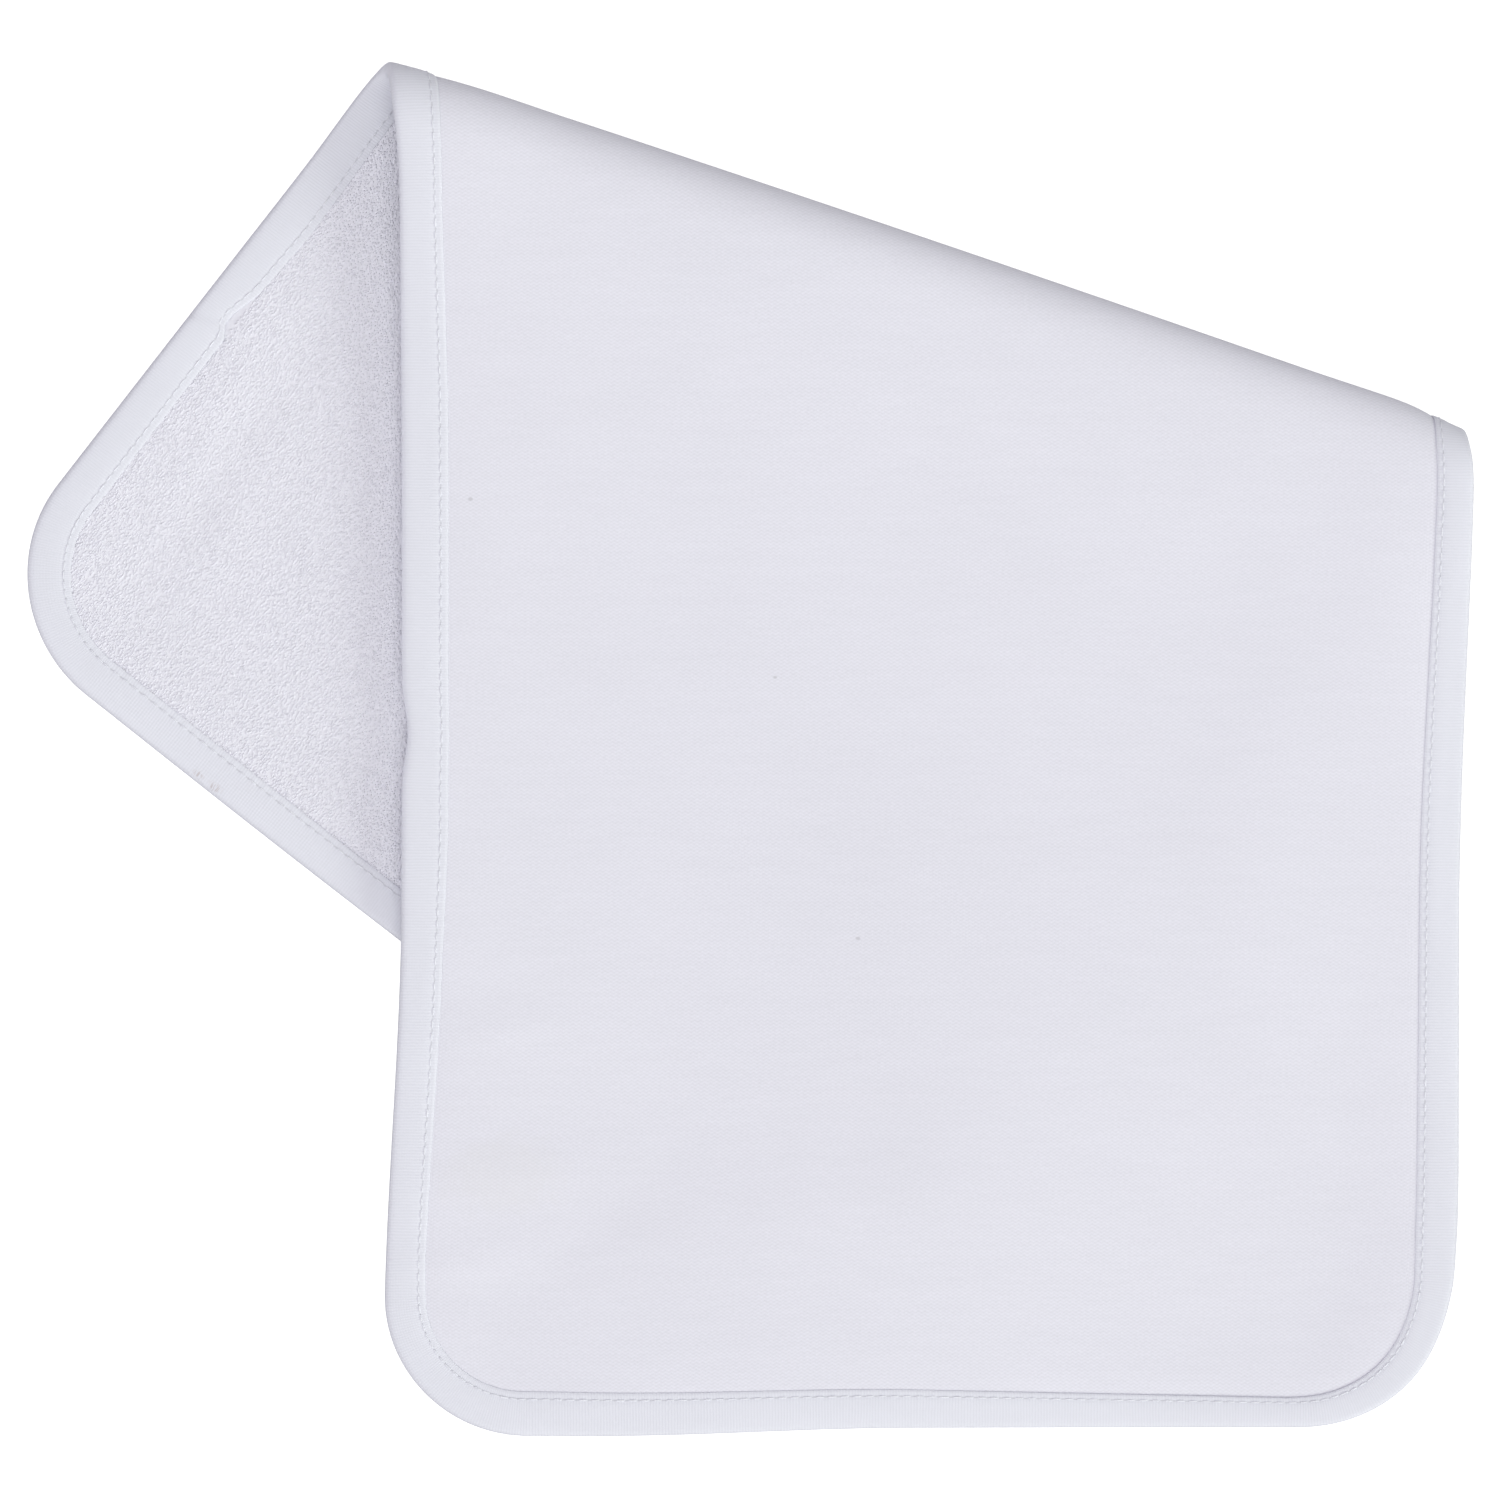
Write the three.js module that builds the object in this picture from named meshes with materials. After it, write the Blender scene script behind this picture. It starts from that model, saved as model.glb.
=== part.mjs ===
// A baby's burp cloth, folded once on the slant and laid flat. Millimetres, +Z up.
// X runs across the cloth and Y along it. The origin is under the middle of the whole, on the surface.
// The cloth is a smooth knitted panel and a terry panel, back to back, in one knitted binding.
// Each is worked out flat, in u across and v along the cloth, and a flat point is then folded into place.
// h is the height above the middle of the two panels, positive on the smooth side.
import * as THREE from "three";

// The cloth as it is cut
const WIDTH = 255;
const LENGTH = 499;
const RADIUS = { nearLeft: 34, nearRight: 37.5, farLeft: 36, farRight: 38 };
const LEFT_X = -83.5;
const NEAR_Y = -162.4;

// Layers, from the middle of the cloth outwards
const HALF_GAP = 0.15;
const FACE_TOP = 0.95;
const TERRY_FLAT = 0.95;
const TERRY_TOP = 1.55;
const BINDING_IN = 1.25;
const BINDING_OUT = 2.05;

// The binding is this wide, and the panels' raw edges lie this far inside it
const BINDING_WIDTH = 10.5;
const BINDING_MIDDLE = 6.5;
const RAW_EDGE = 3;
const PILE_STANDS = 13;

// The fold: its angle, its outermost line, and how far its upper and lower quarter curve reach out
const FOLD_ANGLE = THREE.MathUtils.degToRad(18.9);
const FOLD_TIP = new THREE.Vector2(40.5, 121.8);
const UPPER_REACH = 12;
const LOWER_REACH = 5;
const TIP_Z = 5.6;
const FOLD_TOP = { left: 13.4, right: 11.6, leftOn: -60, rightOn: 150 };
const FOLD_BOW = 0.85;
const BOW_SPREAD = 60;
const LOFT_SPREAD = { edge: 40, inside: 55, from: 0, to: 45 };

// How high the front layer lies over the back's binding and over its pile, at the front's own rim and
// well inside it, and where it slopes down outside them, by the inset from the back's outline
const OVER_BINDING = { rim: 8, inside: 6.4 };
const OVER_PILE = { rim: 6.8, inside: 6.4 };
const OVER = { slopeFrom: -110, bindingFrom: -1, bindingTo: 12, pileFrom: 36, insideFrom: 75 };

// Inside its thicker rim a layer sags from this inset to that one
const SAG = { from: BINDING_WIDTH, to: 30 };

// How far each edge strays from the straight, to the right or upwards, easing in from one v to another
const STRAY = {
  nearLeft: { by: -4.2, from: 125, to: 20 },
  nearRight: { by: -1.5, from: 250, to: 120 },
  foldLeft: { by: -1.9, from: 312, to: 358 },
  foldRight: { by: 2.1, from: 120, to: 250 },
  nearEdge: { by: -2, from: 120, to: 10, endU: 125, startU: 50 },
};

// Where the cloth is drawn in by a millimetre or two: both ends of the fold, a corner, the flap
const DRAWN_IN = [
  { x: -88, y: 162, spread: 16, moveX: -2, moveY: -0.7 },
  { x: 171, y: 79, spread: 9, moveX: -1.4, moveY: -1.8 },
  { x: 168, y: -135, spread: 17, moveX: -1.4, moveY: 0.3 },
  { x: -187, y: 34, spread: 75, moveX: 1.1, moveY: 1.4 },
];

// Soft ridges. Places and sizes are millimetres, and the angle is from +X.
const FRONT_RIDGES = [
  { x: -58.7, y: -66.7, angle: 8, length: 17, width: 4.5, height: 0.4 },
  { x: -52.7, y: -100.3, angle: 5, length: 24, width: 6.5, height: 0.5 },
  { x: -64.7, y: -120.5, angle: 8, length: 15, width: 4.5, height: 0.4 },
  { x: -62.3, y: -135.4, angle: -12, length: 15, width: 4.5, height: 0.4 },
  { x: 19.3, y: -108, angle: 12, length: 50, width: 14, height: 0.5 },
  { x: 152.5, y: 33.6, angle: 100, length: 36, width: 10, height: 0.3 },
];
const BACK_RIDGES = [
  { x: -137, y: 65, angle: 58, length: 30, width: 4.5, height: 0.3 },
  { x: -124, y: 57, angle: 58, length: 28, width: 5, height: 0.25 },
];

// Mesh steps
const ARC_ROWS = 3;
const FRONT_ROWS = 17;
const UPPER_ROWS = 7;
const LOWER_ROWS = 4;
const BACK_ROWS = 8;
const ARC_COLUMNS = 2;
const EDGE_COLUMNS = 10;

const COLOURS = { face: 0xe2e3eb, terry: 0xe3e3ea, binding: 0xe0e3ec };

const along = new THREE.Vector2(Math.cos(FOLD_ANGLE), -Math.sin(FOLD_ANGLE));
const outward = new THREE.Vector2(Math.sin(FOLD_ANGLE), Math.cos(FOLD_ANGLE));
const foldStart = FOLD_TIP.clone().addScaledVector(outward, -UPPER_REACH);
const { smoothstep, lerp } = THREE.MathUtils;

// A quarter of an ellipse as a table of the length along it at equal steps of its angle
function quarterEllipse(reach, rise) {
  const STEPS = 48;
  const lengths = [0];
  for (let i = 1; i <= STEPS; i++) {
    const angle = (Math.PI / 2) * ((i - 0.5) / STEPS);
    const speed = Math.hypot(reach * Math.cos(angle), rise * Math.sin(angle));
    lengths.push(lengths[i - 1] + (speed * Math.PI) / 2 / STEPS);
  }
  const total = lengths[STEPS];
  function angleAt(length) {
    let i = 1;
    while (i < STEPS && lengths[i] < length) i++;
    const part = (length - lengths[i - 1]) / (lengths[i] - lengths[i - 1]);
    return (Math.PI / 2) * ((i - 1 + part) / STEPS);
  }
  return { total, angleAt };
}

const upper = quarterEllipse(UPPER_REACH, FOLD_TOP.left - TIP_Z);
const lower = quarterEllipse(LOWER_REACH, TIP_Z - FACE_TOP);
const FOLD_LENGTH = upper.total + lower.total;

// How far a flat point lies past the start of the fold, and how far along it
function foldCoordinates(x, y) {
  const dx = x - foldStart.x;
  const dy = y - foldStart.y;
  return { past: dx * outward.x + dy * outward.y, on: dx * along.x + dy * along.y };
}

// Distance inside the cut outline, in the flat
function insetFromEdge(u, v) {
  const left = u < WIDTH / 2;
  const near = v < LENGTH / 2;
  const radius = near
    ? left ? RADIUS.nearLeft : RADIUS.nearRight
    : left ? RADIUS.farLeft : RADIUS.farRight;
  const fromSide = left ? u : WIDTH - u;
  const fromEnd = near ? v : LENGTH - v;
  const a = radius - fromSide;
  const b = radius - fromEnd;
  if (a > 0 && b > 0) return radius - Math.hypot(a, b);
  return Math.min(fromSide, fromEnd);
}

// Where v meets the start of the fold on the left and right edge
const foldV = {
  left: foldStart.y - NEAR_Y - (LEFT_X - foldStart.x) * Math.tan(FOLD_ANGLE),
  right: foldStart.y - NEAR_Y - (LEFT_X + WIDTH - foldStart.x) * Math.tan(FOLD_ANGLE),
};

// 0 at one end and 1 at the other, whichever of the two is the greater
function ease(value, from, to) {
  return from < to ? smoothstep(value, from, to) : 1 - smoothstep(value, to, from);
}

function strayBy(stray, v) {
  return stray.by * ease(v, stray.from, stray.to);
}

function strayX(u, v) {
  const left = strayBy(STRAY.nearLeft, v) + strayBy(STRAY.foldLeft, v);
  const right = strayBy(STRAY.nearRight, v) + strayBy(STRAY.foldRight, v);
  return lerp(left, right, THREE.MathUtils.clamp(u / WIDTH, 0, 1));
}

function strayY(u, v) {
  const { endU, startU } = STRAY.nearEdge;
  return strayBy(STRAY.nearEdge, v) * ease(u, endU, startU);
}

function ridgeHeight(ridges, x, y) {
  let height = 0;
  for (const ridge of ridges) {
    const angle = THREE.MathUtils.degToRad(ridge.angle);
    const dx = x - ridge.x;
    const dy = y - ridge.y;
    const lengthwise = (dx * Math.cos(angle) + dy * Math.sin(angle)) / ridge.length;
    const across = (dy * Math.cos(angle) - dx * Math.sin(angle)) / ridge.width;
    height += ridge.height * Math.exp(-lengthwise * lengthwise - across * across);
  }
  return height;
}

// Distance inside the back layer's outline of a point on the surface
function insetFromBack(x, y) {
  let strayed = x;
  let inset = 0;
  for (let pass = 0; pass < 3; pass++) {
    const { past, on } = foldCoordinates(strayed, y);
    const flatPast = FOLD_LENGTH + UPPER_REACH - LOWER_REACH - past;
    const u = foldStart.x + on * along.x + flatPast * outward.x - LEFT_X;
    const v = foldStart.y + on * along.y + flatPast * outward.y - NEAR_Y;
    inset = insetFromEdge(u, v);
    strayed = x - strayX(u, v);
  }
  return inset;
}

function frontHeight(x, y, u, v) {
  const { past, on } = foldCoordinates(x, y);
  const ownInset = insetFromEdge(u, v);
  const onFloor = lerp(BINDING_OUT, TERRY_TOP, smoothstep(ownInset, SAG.from, SAG.to));
  const away = smoothstep(ownInset, SAG.from, OVER.insideFrom);
  const overBinding = lerp(OVER_BINDING.rim, OVER_BINDING.inside, away);
  const overPile = lerp(OVER_PILE.rim, OVER_PILE.inside, away);
  const inset = insetFromBack(x, y);
  const over = lerp(overBinding, overPile, smoothstep(inset, OVER.bindingTo, OVER.pileFrom));
  const lying = lerp(onFloor, over, smoothstep(inset, OVER.slopeFrom, OVER.bindingFrom));
  const turned = smoothstep(on, FOLD_TOP.leftOn, FOLD_TOP.rightOn);
  const top = lerp(FOLD_TOP.left, FOLD_TOP.right, turned);
  const inside = smoothstep(ownInset, LOFT_SPREAD.from, LOFT_SPREAD.to);
  const spread = lerp(LOFT_SPREAD.edge, LOFT_SPREAD.inside, inside);
  const rise = (top - over) * Math.exp(-((past / spread) ** 2));
  return lying + Math.max(rise, 0) + ridgeHeight(FRONT_RIDGES, x, y);
}

function backHeight(x, y, u, v) {
  const sag = smoothstep(insetFromEdge(u, v), SAG.from, SAG.to);
  return lerp(BINDING_OUT, FACE_TOP, sag) + ridgeHeight(BACK_RIDGES, x, y);
}

function drawnIn(x, y, z) {
  const point = new THREE.Vector3(x, y, z);
  for (const pull of DRAWN_IN) {
    const distance = Math.hypot(x - pull.x, y - pull.y) / pull.spread;
    const share = Math.exp(-distance * distance);
    point.x += share * pull.moveX;
    point.y += share * pull.moveY;
  }
  return point;
}

// A flat point of the middle of the cloth, folded and laid in place
function middle(u, v) {
  const flatX = LEFT_X + u;
  const flatY = NEAR_Y + v;
  const { past, on } = foldCoordinates(flatX, flatY);
  let reach = past;
  let z;
  if (past <= 0) {
    z = frontHeight(flatX, flatY, u, v);
  } else if (past < FOLD_LENGTH) {
    const startX = foldStart.x + on * along.x;
    const startY = foldStart.y + on * along.y;
    if (past < upper.total) {
      const angle = upper.angleAt(past);
      const top = frontHeight(startX, startY, u, v);
      reach = UPPER_REACH * Math.sin(angle);
      z = TIP_Z + (top - TIP_Z) * Math.cos(angle);
    } else {
      const angle = lower.angleAt(FOLD_LENGTH - past);
      const bottom = backHeight(startX, startY, u, v);
      reach = UPPER_REACH - LOWER_REACH * (1 - Math.sin(angle));
      z = TIP_Z - (TIP_Z - bottom) * Math.cos(angle);
    }
  } else {
    reach = UPPER_REACH - LOWER_REACH - (past - FOLD_LENGTH);
  }
  const half = WIDTH / 2 / Math.cos(FOLD_ANGLE);
  const bow = FOLD_BOW * (on / half) ** 2 * Math.exp(-((past / BOW_SPREAD) ** 2));
  const x = foldStart.x + on * along.x + (reach - bow) * outward.x + strayX(u, v);
  const y = foldStart.y + on * along.y + (reach - bow) * outward.y + strayY(u, v);
  if (past >= FOLD_LENGTH) z = backHeight(x, y, u, v);
  return drawnIn(x, y, z);
}

// The same point at height h off the middle of the cloth
function place(u, v, h) {
  const STEP = 0.05;
  const across = middle(u + STEP, v).sub(middle(u - STEP, v));
  const lengthwise = middle(u, v + STEP).sub(middle(u, v - STEP));
  const normal = across.cross(lengthwise).normalize();
  return middle(u, v).addScaledVector(normal, h);
}

// A station is a point of the outline with the way inwards from it, one millimetre of inset long
function straightStation(u, v, inU, inV) {
  return { u, v, inU, inV };
}

function arcStation(centreU, centreV, radius, degrees) {
  const angle = THREE.MathUtils.degToRad(degrees);
  const c = Math.cos(angle);
  const s = Math.sin(angle);
  return { u: centreU + radius * c, v: centreV + radius * s, inU: -c, inV: -s };
}

function sideRows() {
  const { nearLeft, nearRight, farLeft, farRight } = RADIUS;
  const rows = [];
  for (let k = 0; k < ARC_ROWS; k++) {
    const turn = (45 * k) / ARC_ROWS;
    rows.push({
      left: arcStation(nearLeft, nearLeft, nearLeft, 225 - turn),
      right: arcStation(WIDTH - nearRight, nearRight, nearRight, 315 + turn),
    });
  }
  function straightRow(left, right) {
    const slope = (left - right) / WIDTH;
    rows.push({
      left: straightStation(0, left, 1, -slope),
      right: straightStation(WIDTH, right, -1, slope),
    });
  }
  for (let k = 0; k <= FRONT_ROWS; k++) {
    const share = k / FRONT_ROWS;
    straightRow(lerp(nearLeft, foldV.left, share), lerp(nearRight, foldV.right, share));
  }
  const steepness = Math.cos(FOLD_ANGLE);
  const foldRow = (past) =>
    straightRow(foldV.left + past / steepness, foldV.right + past / steepness);
  for (let k = 1; k <= UPPER_ROWS; k++) {
    foldRow(upper.total * Math.sin(((k / UPPER_ROWS) * Math.PI) / 2) ** 0.9);
  }
  for (let k = 1; k <= LOWER_ROWS; k++) {
    foldRow(upper.total + (lower.total * k) / LOWER_ROWS);
  }
  const endLeft = foldV.left + FOLD_LENGTH / steepness;
  const endRight = foldV.right + FOLD_LENGTH / steepness;
  for (let k = 1; k <= BACK_ROWS; k++) {
    const share = k / BACK_ROWS;
    straightRow(
      lerp(endLeft, LENGTH - farLeft, share),
      lerp(endRight, LENGTH - farRight, share),
    );
  }
  for (let k = 1; k <= ARC_ROWS; k++) {
    const turn = (45 * k) / ARC_ROWS;
    rows.push({
      left: arcStation(farLeft, LENGTH - farLeft, farLeft, 180 - turn),
      right: arcStation(WIDTH - farRight, LENGTH - farRight, farRight, turn),
    });
  }
  return rows;
}

// The stations of the near or the far end, from the left corner's middle to the right corner's
function endStations(near) {
  const leftRadius = near ? RADIUS.nearLeft : RADIUS.farLeft;
  const rightRadius = near ? RADIUS.nearRight : RADIUS.farRight;
  const side = near ? 1 : -1;
  const edge = near ? 0 : LENGTH;
  const stations = [];
  for (let k = 0; k < ARC_COLUMNS; k++) {
    const degrees = side * (225 + (45 * k) / ARC_COLUMNS);
    stations.push(arcStation(leftRadius, edge + side * leftRadius, leftRadius, degrees));
  }
  for (let k = 0; k <= EDGE_COLUMNS; k++) {
    const u = lerp(leftRadius, WIDTH - rightRadius, k / EDGE_COLUMNS);
    stations.push(straightStation(u, edge, 0, side));
  }
  for (let k = 1; k <= ARC_COLUMNS; k++) {
    const degrees = side * (270 + (45 * k) / ARC_COLUMNS);
    const centreU = WIDTH - rightRadius;
    stations.push(arcStation(centreU, edge + side * rightRadius, rightRadius, degrees));
  }
  return stations;
}

const rows = sideRows();
const nearEnd = endStations(true);
const farEnd = endStations(false);
const ROWS = rows.length;
const COLUMNS = nearEnd.length;

// The outline's stations, once round, and the grid point that each one belongs to
const outline = [];
for (let i = 0; i < COLUMNS; i++) outline.push({ station: nearEnd[i], row: 0, column: i });
for (let j = 1; j < ROWS; j++) {
  outline.push({ station: rows[j].right, row: j, column: COLUMNS - 1 });
}
for (let i = COLUMNS - 2; i >= 0; i--) {
  outline.push({ station: farEnd[i], row: ROWS - 1, column: i });
}
for (let j = ROWS - 2; j > 0; j--) outline.push({ station: rows[j].left, row: j, column: 0 });

function atInset(station, inset) {
  return { u: station.u + station.inU * inset, v: station.v + station.inV * inset };
}

// The flat points inside the binding, in rows that turn to lie along the fold
function innerGrid() {
  const near = nearEnd.map((station) => atInset(station, PILE_STANDS));
  const far = farEnd.map((station) => atInset(station, PILE_STANDS));
  const last = COLUMNS - 1;
  const share = near.map((point) => (point.u - near[0].u) / (near[last].u - near[0].u));
  const BLEND_ROWS = 7;
  const grid = [];
  for (let j = 0; j < ROWS; j++) {
    const left = atInset(rows[j].left, PILE_STANDS);
    const right = atInset(rows[j].right, PILE_STANDS);
    const nearShare = 1 - smoothstep(j, 0, BLEND_ROWS);
    const farShare = smoothstep(j, ROWS - 1 - BLEND_ROWS, ROWS - 1);
    const row = share.map((f, i) => {
      const point = { u: lerp(left.u, right.u, f), v: lerp(left.v, right.v, f) };
      for (const [end, amount] of [[near, nearShare], [far, farShare]]) {
        point.u += amount * (end[i].u - lerp(end[0].u, end[last].u, f));
        point.v += amount * (end[i].v - lerp(end[0].v, end[last].v, f));
      }
      return point;
    });
    grid.push(row);
  }
  return grid;
}

const grid = innerGrid();

// Collects points and triangles for one closed solid
function shell() {
  const positions = [];
  const index = [];
  return {
    point(p) {
      positions.push(p.x, p.y, p.z);
      return positions.length / 3 - 1;
    },
    // a, b, c, d run anticlockwise seen from outside, and the quad is cut from a to c
    quad(a, b, c, d) {
      index.push(a, b, c, a, c, d);
    },
    geometry() {
      const made = new THREE.BufferGeometry();
      made.setAttribute("position", new THREE.Float32BufferAttribute(positions, 3));
      made.setIndex(index);
      made.computeVertexNormals();
      return made;
    },
  };
}

// A panel between the two heights that heights(inset) gives
function panelGeometry(heights) {
  const solid = shell();
  const INSETS = [RAW_EDGE, BINDING_MIDDLE, BINDING_WIDTH];
  const sides = [1, 0].map((side) => {
    const rings = INSETS.map((inset) =>
      outline.map(({ station }) => {
        const { u, v } = atInset(station, inset);
        return solid.point(place(u, v, heights(inset)[side]));
      }),
    );
    const inner = grid.map((row) =>
      row.map(({ u, v }) => solid.point(place(u, v, heights(PILE_STANDS)[side]))),
    );
    rings.push(outline.map(({ row, column }) => inner[row][column]));
    return { rings, inner, upwards: side === 1 };
  });
  for (const { rings, inner, upwards } of sides) {
    for (let r = 0; r + 1 < rings.length; r++) {
      outline.forEach((_, k) => {
        const next = (k + 1) % outline.length;
        const [a, b, c, d] = [rings[r][k], rings[r][next], rings[r + 1][next], rings[r + 1][k]];
        if (upwards) solid.quad(a, b, c, d);
        else solid.quad(a, d, c, b);
      });
    }
    for (let j = 0; j + 1 < ROWS; j++) {
      for (let i = 0; i + 1 < COLUMNS; i++) {
        const [a, b] = [inner[j][i], inner[j][i + 1]];
        const [c, d] = [inner[j + 1][i + 1], inner[j + 1][i]];
        if (upwards) solid.quad(a, b, c, d);
        else solid.quad(a, d, c, b);
      }
    }
  }
  const [top, bottom] = sides.map((side) => side.rings[0]);
  outline.forEach((_, k) => {
    const next = (k + 1) % outline.length;
    solid.quad(bottom[k], bottom[next], top[next], top[k]);
  });
  return solid.geometry();
}

// The binding's section: a knitted strip folded over the raw edges, with a rounded outer edge
const BINDING_SECTION = [
  { inset: BINDING_WIDTH, h: BINDING_OUT },
  { inset: BINDING_MIDDLE, h: BINDING_OUT },
  { inset: RAW_EDGE, h: BINDING_OUT - 0.1 },
  { inset: 1.2, h: 1.5 },
  { inset: 0.3, h: 0.8 },
  { inset: 0, h: 0 },
  { inset: 0.3, h: -0.8 },
  { inset: 1.2, h: -1.5 },
  { inset: RAW_EDGE, h: 0.1 - BINDING_OUT },
  { inset: BINDING_MIDDLE, h: -BINDING_OUT },
  { inset: BINDING_WIDTH, h: -BINDING_OUT },
  { inset: BINDING_WIDTH, h: -BINDING_IN },
  { inset: BINDING_MIDDLE, h: -BINDING_IN },
  { inset: RAW_EDGE - 0.4, h: -BINDING_IN },
  { inset: 1.6, h: 0 },
  { inset: RAW_EDGE - 0.4, h: BINDING_IN },
  { inset: BINDING_MIDDLE, h: BINDING_IN },
  { inset: BINDING_WIDTH, h: BINDING_IN },
];

function bindingGeometry() {
  const solid = shell();
  const sections = outline.map(({ station }) =>
    BINDING_SECTION.map(({ inset, h }) => {
      const { u, v } = atInset(station, inset);
      return solid.point(place(u, v, h));
    }),
  );
  const count = BINDING_SECTION.length;
  sections.forEach((here, k) => {
    const next = sections[(k + 1) % sections.length];
    for (let m = 0; m < count; m++) {
      const n = (m + 1) % count;
      // The cut runs from the outer point here to the inner point of the next section, as on the panels
      if (BINDING_SECTION[m].inset < BINDING_SECTION[n].inset) {
        solid.quad(here[m], here[n], next[n], next[m]);
      } else {
        solid.quad(here[n], next[n], next[m], here[m]);
      }
    }
  });
  return solid.geometry();
}

function piece(name, geometry, color, roughness) {
  const material = new THREE.MeshStandardMaterial({ color, roughness, metalness: 0 });
  const mesh = new THREE.Mesh(geometry, material);
  mesh.name = name;
  return mesh;
}

function facePanel() {
  return panelGeometry(() => [HALF_GAP, FACE_TOP]);
}

function terryPanel() {
  return panelGeometry((inset) => {
    const pile = inset > BINDING_WIDTH ? TERRY_TOP : TERRY_FLAT;
    return [-pile, -HALF_GAP];
  });
}

const burpCloth = new THREE.Group();
burpCloth.add(
  piece("face_panel", facePanel(), COLOURS.face, 0.85),
  piece("terry_panel", terryPanel(), COLOURS.terry, 0.95),
  piece("binding", bindingGeometry(), COLOURS.binding, 0.85),
);

export default burpCloth;
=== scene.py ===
# %% [markdown]
# A burp cloth, folded once and laid flat
#
# A burp cloth protects the shoulder of whoever holds a baby. This one is two knitted fabrics sewn
# back to back: a smooth interlock knit outside and a looped terry inside, which soaks things up.
# A knitted tape, the binding, is folded over the raw edges and topstitched all the way round.
# The cloth has been folded once on a slant, so the terry shows on a flap at the left.

# %% Load the measured model
import math

import bpy
import numpy as np
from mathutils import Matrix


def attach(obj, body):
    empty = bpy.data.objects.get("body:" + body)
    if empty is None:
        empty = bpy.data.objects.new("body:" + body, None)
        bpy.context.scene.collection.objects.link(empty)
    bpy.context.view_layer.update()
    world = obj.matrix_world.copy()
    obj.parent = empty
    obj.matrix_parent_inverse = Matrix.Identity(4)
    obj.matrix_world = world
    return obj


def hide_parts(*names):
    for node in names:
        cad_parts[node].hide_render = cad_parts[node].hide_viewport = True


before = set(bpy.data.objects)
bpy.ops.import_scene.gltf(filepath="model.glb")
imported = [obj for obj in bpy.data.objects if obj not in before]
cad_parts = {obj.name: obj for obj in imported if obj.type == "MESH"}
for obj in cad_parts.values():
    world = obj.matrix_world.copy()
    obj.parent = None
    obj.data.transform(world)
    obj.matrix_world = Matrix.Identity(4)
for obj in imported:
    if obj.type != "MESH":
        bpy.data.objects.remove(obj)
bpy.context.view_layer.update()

MM = 0.001

# %% [markdown]
# Sizes of the cloth
#
# Everything is worked out on the flat cloth first: u runs across it and v along it, in millimetres.
# These are the sizes that the solids were made with, so the fine surfaces land on the solids.
# A layer's height is counted from the middle of the cloth, where the two panels meet.

# %% The flat cloth and its layers
WIDTH = 255
LENGTH = 499
CORNER = {"near_left": 34, "near_right": 37.5, "far_right": 38, "far_left": 36}
LEFT_X = -83.5
NEAR_Y = -162.4
FACE_TOP = 0.95
TERRY_TOP = 1.55
BINDING_OUT = 2.05
RAW_EDGE = 3
print("Flat cloth:", WIDTH, "by", LENGTH, "mm")

# %% [markdown]
# The fold
#
# Soft cloth makes a loose roll and no sharp crease. The roll reaches further on its upper side than
# on its lower side, and stands a little higher at its left end. A formula keeps the cloth's length
# and the photographed outline, which a cloth simulation would only come near.

# %% The fold
FOLD_ANGLE = math.radians(18.9)
FOLD_TIP = (40.5, 121.8)
UPPER_REACH = 12
LOWER_REACH = 5
TIP_Z = 5.6
FOLD_TOP = {"left": 13.4, "right": 11.6, "left_on": -60, "right_on": 150}
FOLD_BOW = 0.85
BOW_SPREAD = 60
LOFT_SPREAD = {"edge": 40, "inside": 55, "from": 0, "to": 45}
print("The fold slants by", round(math.degrees(FOLD_ANGLE), 1), "degrees")

# %% How the layers lie on each other and on the table
OVER_BINDING = {"rim": 8, "inside": 6.4}
OVER_PILE = {"rim": 6.8, "inside": 6.4}
OVER = {"slope_from": -110, "binding_from": -1, "binding_to": 12, "pile_from": 36, "inside_from": 75}
SAG = {"from": 10.5, "to": 30}
print("Over the back layer the front lies at", OVER_PILE["inside"], "mm, its rim at", OVER_PILE["rim"], "mm")

# %% [markdown]
# Uneven edges
#
# Cloth is never quite straight. Its edges stray by a few millimetres, and the ends of the fold are
# drawn in where the stiff binding turns over. Each row says how far, and from where to where. The
# solids lack the last pull, which tucks in the front layer's left edge by up to 1.4 mm.

# %% Uneven edges
STRAY = {
    "near_left": {"by": -4.2, "from": 125, "to": 20},
    "near_right": {"by": -1.5, "from": 250, "to": 120},
    "fold_left": {"by": -1.9, "from": 312, "to": 358},
    "fold_right": {"by": 2.1, "from": 120, "to": 250},
    "near_edge": {"by": -2, "from": 120, "to": 10, "end_u": 125, "start_u": 50},
}
DRAWN_IN = [
    {"x": -88, "y": 162, "spread": 16, "move_x": -2, "move_y": -0.7},
    {"x": 171, "y": 79, "spread": 9, "move_x": -1.4, "move_y": -1.8},
    {"x": 168, "y": -135, "spread": 17, "move_x": -1.4, "move_y": 0.3},
    {"x": -187, "y": 34, "spread": 75, "move_x": 1.1, "move_y": 1.4},
    {"x": -84, "y": 4, "spread": 8, "move_x": 1.4, "move_y": 0},
]
print("Edges stray in", len(STRAY), "places and are drawn in at", len(DRAWN_IN))
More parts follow.
